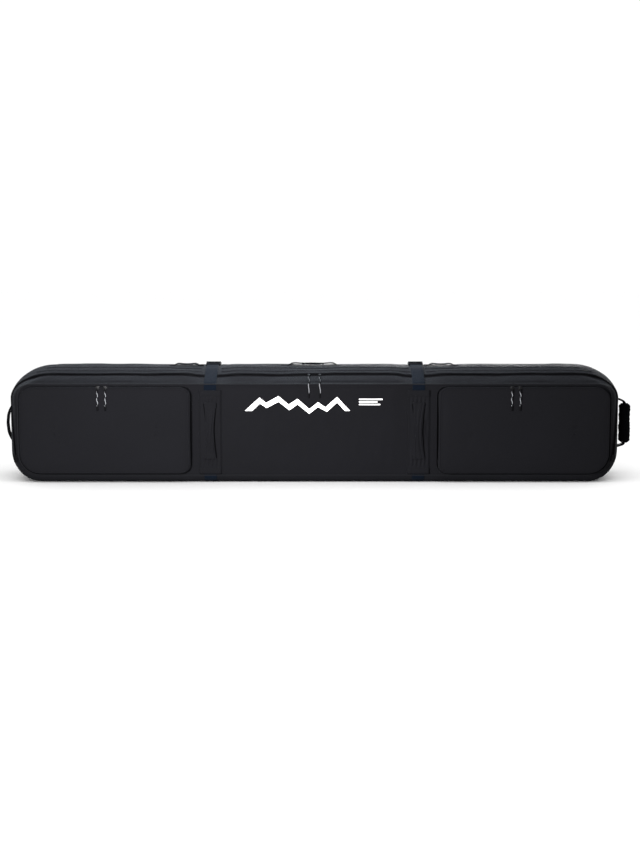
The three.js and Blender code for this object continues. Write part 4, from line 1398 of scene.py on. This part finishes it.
def make_trim():
    """The address window, the board inside the back and the two tie-downs."""
    refined("id_window_frame", "id_window_border", "tub", "black_webbing", 0.6, look="binding")
    refined("id_window_film", "id_window_sheet", "tub", "window_film", 0.2)
    line = np.array([(WINDOW["x"] + right * WINDOW["half_length"], 117.3,
                      WINDOW["z"] + up * WINDOW["half_height"])
                     for right, up in ((-1, -1), (1, -1), (1, 1), (-1, 1), (-1, -1))]) * MM
    sewn = stitches("id_window_stitches", [(line, (0, 1, 0))])
    settle(sewn, "tub", "black_webbing", look="thread")
    refined("base_board", "base_panel", "tub", "board_plastic", 1.2)
    for name, side in SIDES.items():
        x = side * 350
        line = in_plane(x, [(99.3, z) for z in np.linspace(40, 266, 60)])
        line[:, 1] -= 0.8 * MM * np.sin(np.linspace(0, 9, 60))
        band = strip(f"{name}_tie_webbing", line, (1, 0, 0), HANDLE_WIDTH, 1.9)
        settle(band, "tub", "black_webbing", f"{name}_tie_strap")
        refined(f"{name}_tie_buckle", f"{name}_tie_clip", "tub", "buckle_plastic", 1.6)
        at = in_plane(x, [(88.9, z) for z in (136, 140, 144, 160, 164, 168)])
        ribs = lozenges(f"{name}_tie_ribs", at, (1, 0, 0), FORWARD, (24, 1.8, 1.2))
        settle(ribs, "tub", "buckle_plastic")


def raised(tree, name, outline):
    """A flat outline, as a thin raised print laid on the front."""
    obj = linked(name, bpy.data.meshes.new(name))
    points = [(x * MM, FRONT * MM, z * MM) for x, z in outline]
    obj.data.from_pydata(points, [], [tuple(range(len(outline)))])
    with editing(obj.data) as bm:
        bmesh.ops.triangulate(bm, faces=bm.faces)
        for _ in range(2):
            long = [e for e in bm.edges if e.calc_length() > 0.009]
            bmesh.ops.subdivide_edges(bm, edges=long, cuts=2)
            bmesh.ops.triangulate(bm, faces=bm.faces)
        bm.normal_update()
        for v in bm.verts:
            place, _ = on_skin(tree, np.array([v.co]), 0.25)
            v.co = Vector(place[0])
        if sum(f.normal.y for f in bm.faces) > 0:
            bmesh.ops.reverse_faces(bm, faces=bm.faces)
    solid = obj.modifiers.new("ink", "SOLIDIFY")
    solid.thickness, solid.offset = 0.35 * MM, -1
    return applied(obj)


def make_print(tree):
    """A generic ridge of peaks and three plain bars, printed on the middle panel."""
    ridge = [(-190, 198), (-150, 234), (-132, 220), (-98, 238), (-70, 215), (-46, 231), (-14, 203),
             (10, 222), (30, 208), (62, 236), (97, 198), (84, 198), (62, 221), (34, 196), (10, 209),
             (-14, 190.5), (-46, 216), (-68, 200), (-98, 223), (-130, 206), (-149, 218), (-170, 198)]
    pieces = [raised(tree, "ridge", ridge)]
    for end, low in ((186, 228), (172, 221), (180, 214)):
        steps = np.linspace(122, end, 9)
        outline = [(x, low) for x in steps] + [(x, low + 3) for x in steps[::-1]]
        pieces.append(raised(tree, "bar", outline))
    settle(joined("panel_print", pieces), "lid", "shell_fabric", look="print_ink")


# ---------------------------------------------------------------- the order of making
make_camera()
make_stage()
skin_object, skin_tree = make_body()
make_piping(skin_tree)
zip_line = split_line(skin_object)
make_main_zip(skin_tree, zip_line)
make_zip_ends(skin_tree, zip_line)
make_gusset_seams(skin_tree)
make_print(skin_tree)
make_shells(skin_object)
bpy.data.objects.remove(skin_object)
for side_name, side_sign in SIDES.items():
    make_pocket(side_name, side_sign)
    make_strap(side_name, side_sign * STRAP_X)
    make_patch(side_name, side_sign * STRAP_X)
    make_sleeve(side_name, side_sign * STRAP_X)
    make_buckle(side_name, side_sign * STRAP_X)
make_sliders()
make_top_handles()
make_end_handles()
for wheel_name, wheel_height in WHEEL_Z.items():
    make_wheel(wheel_name, wheel_height)
make_trim()

# ---------------------------------------------------------------- the CAD parts' materials
for node_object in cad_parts.values():
    for slot in node_object.material_slots:
        if slot.material:
            slot.material = M.get(look_name(slot.material), slot.material)
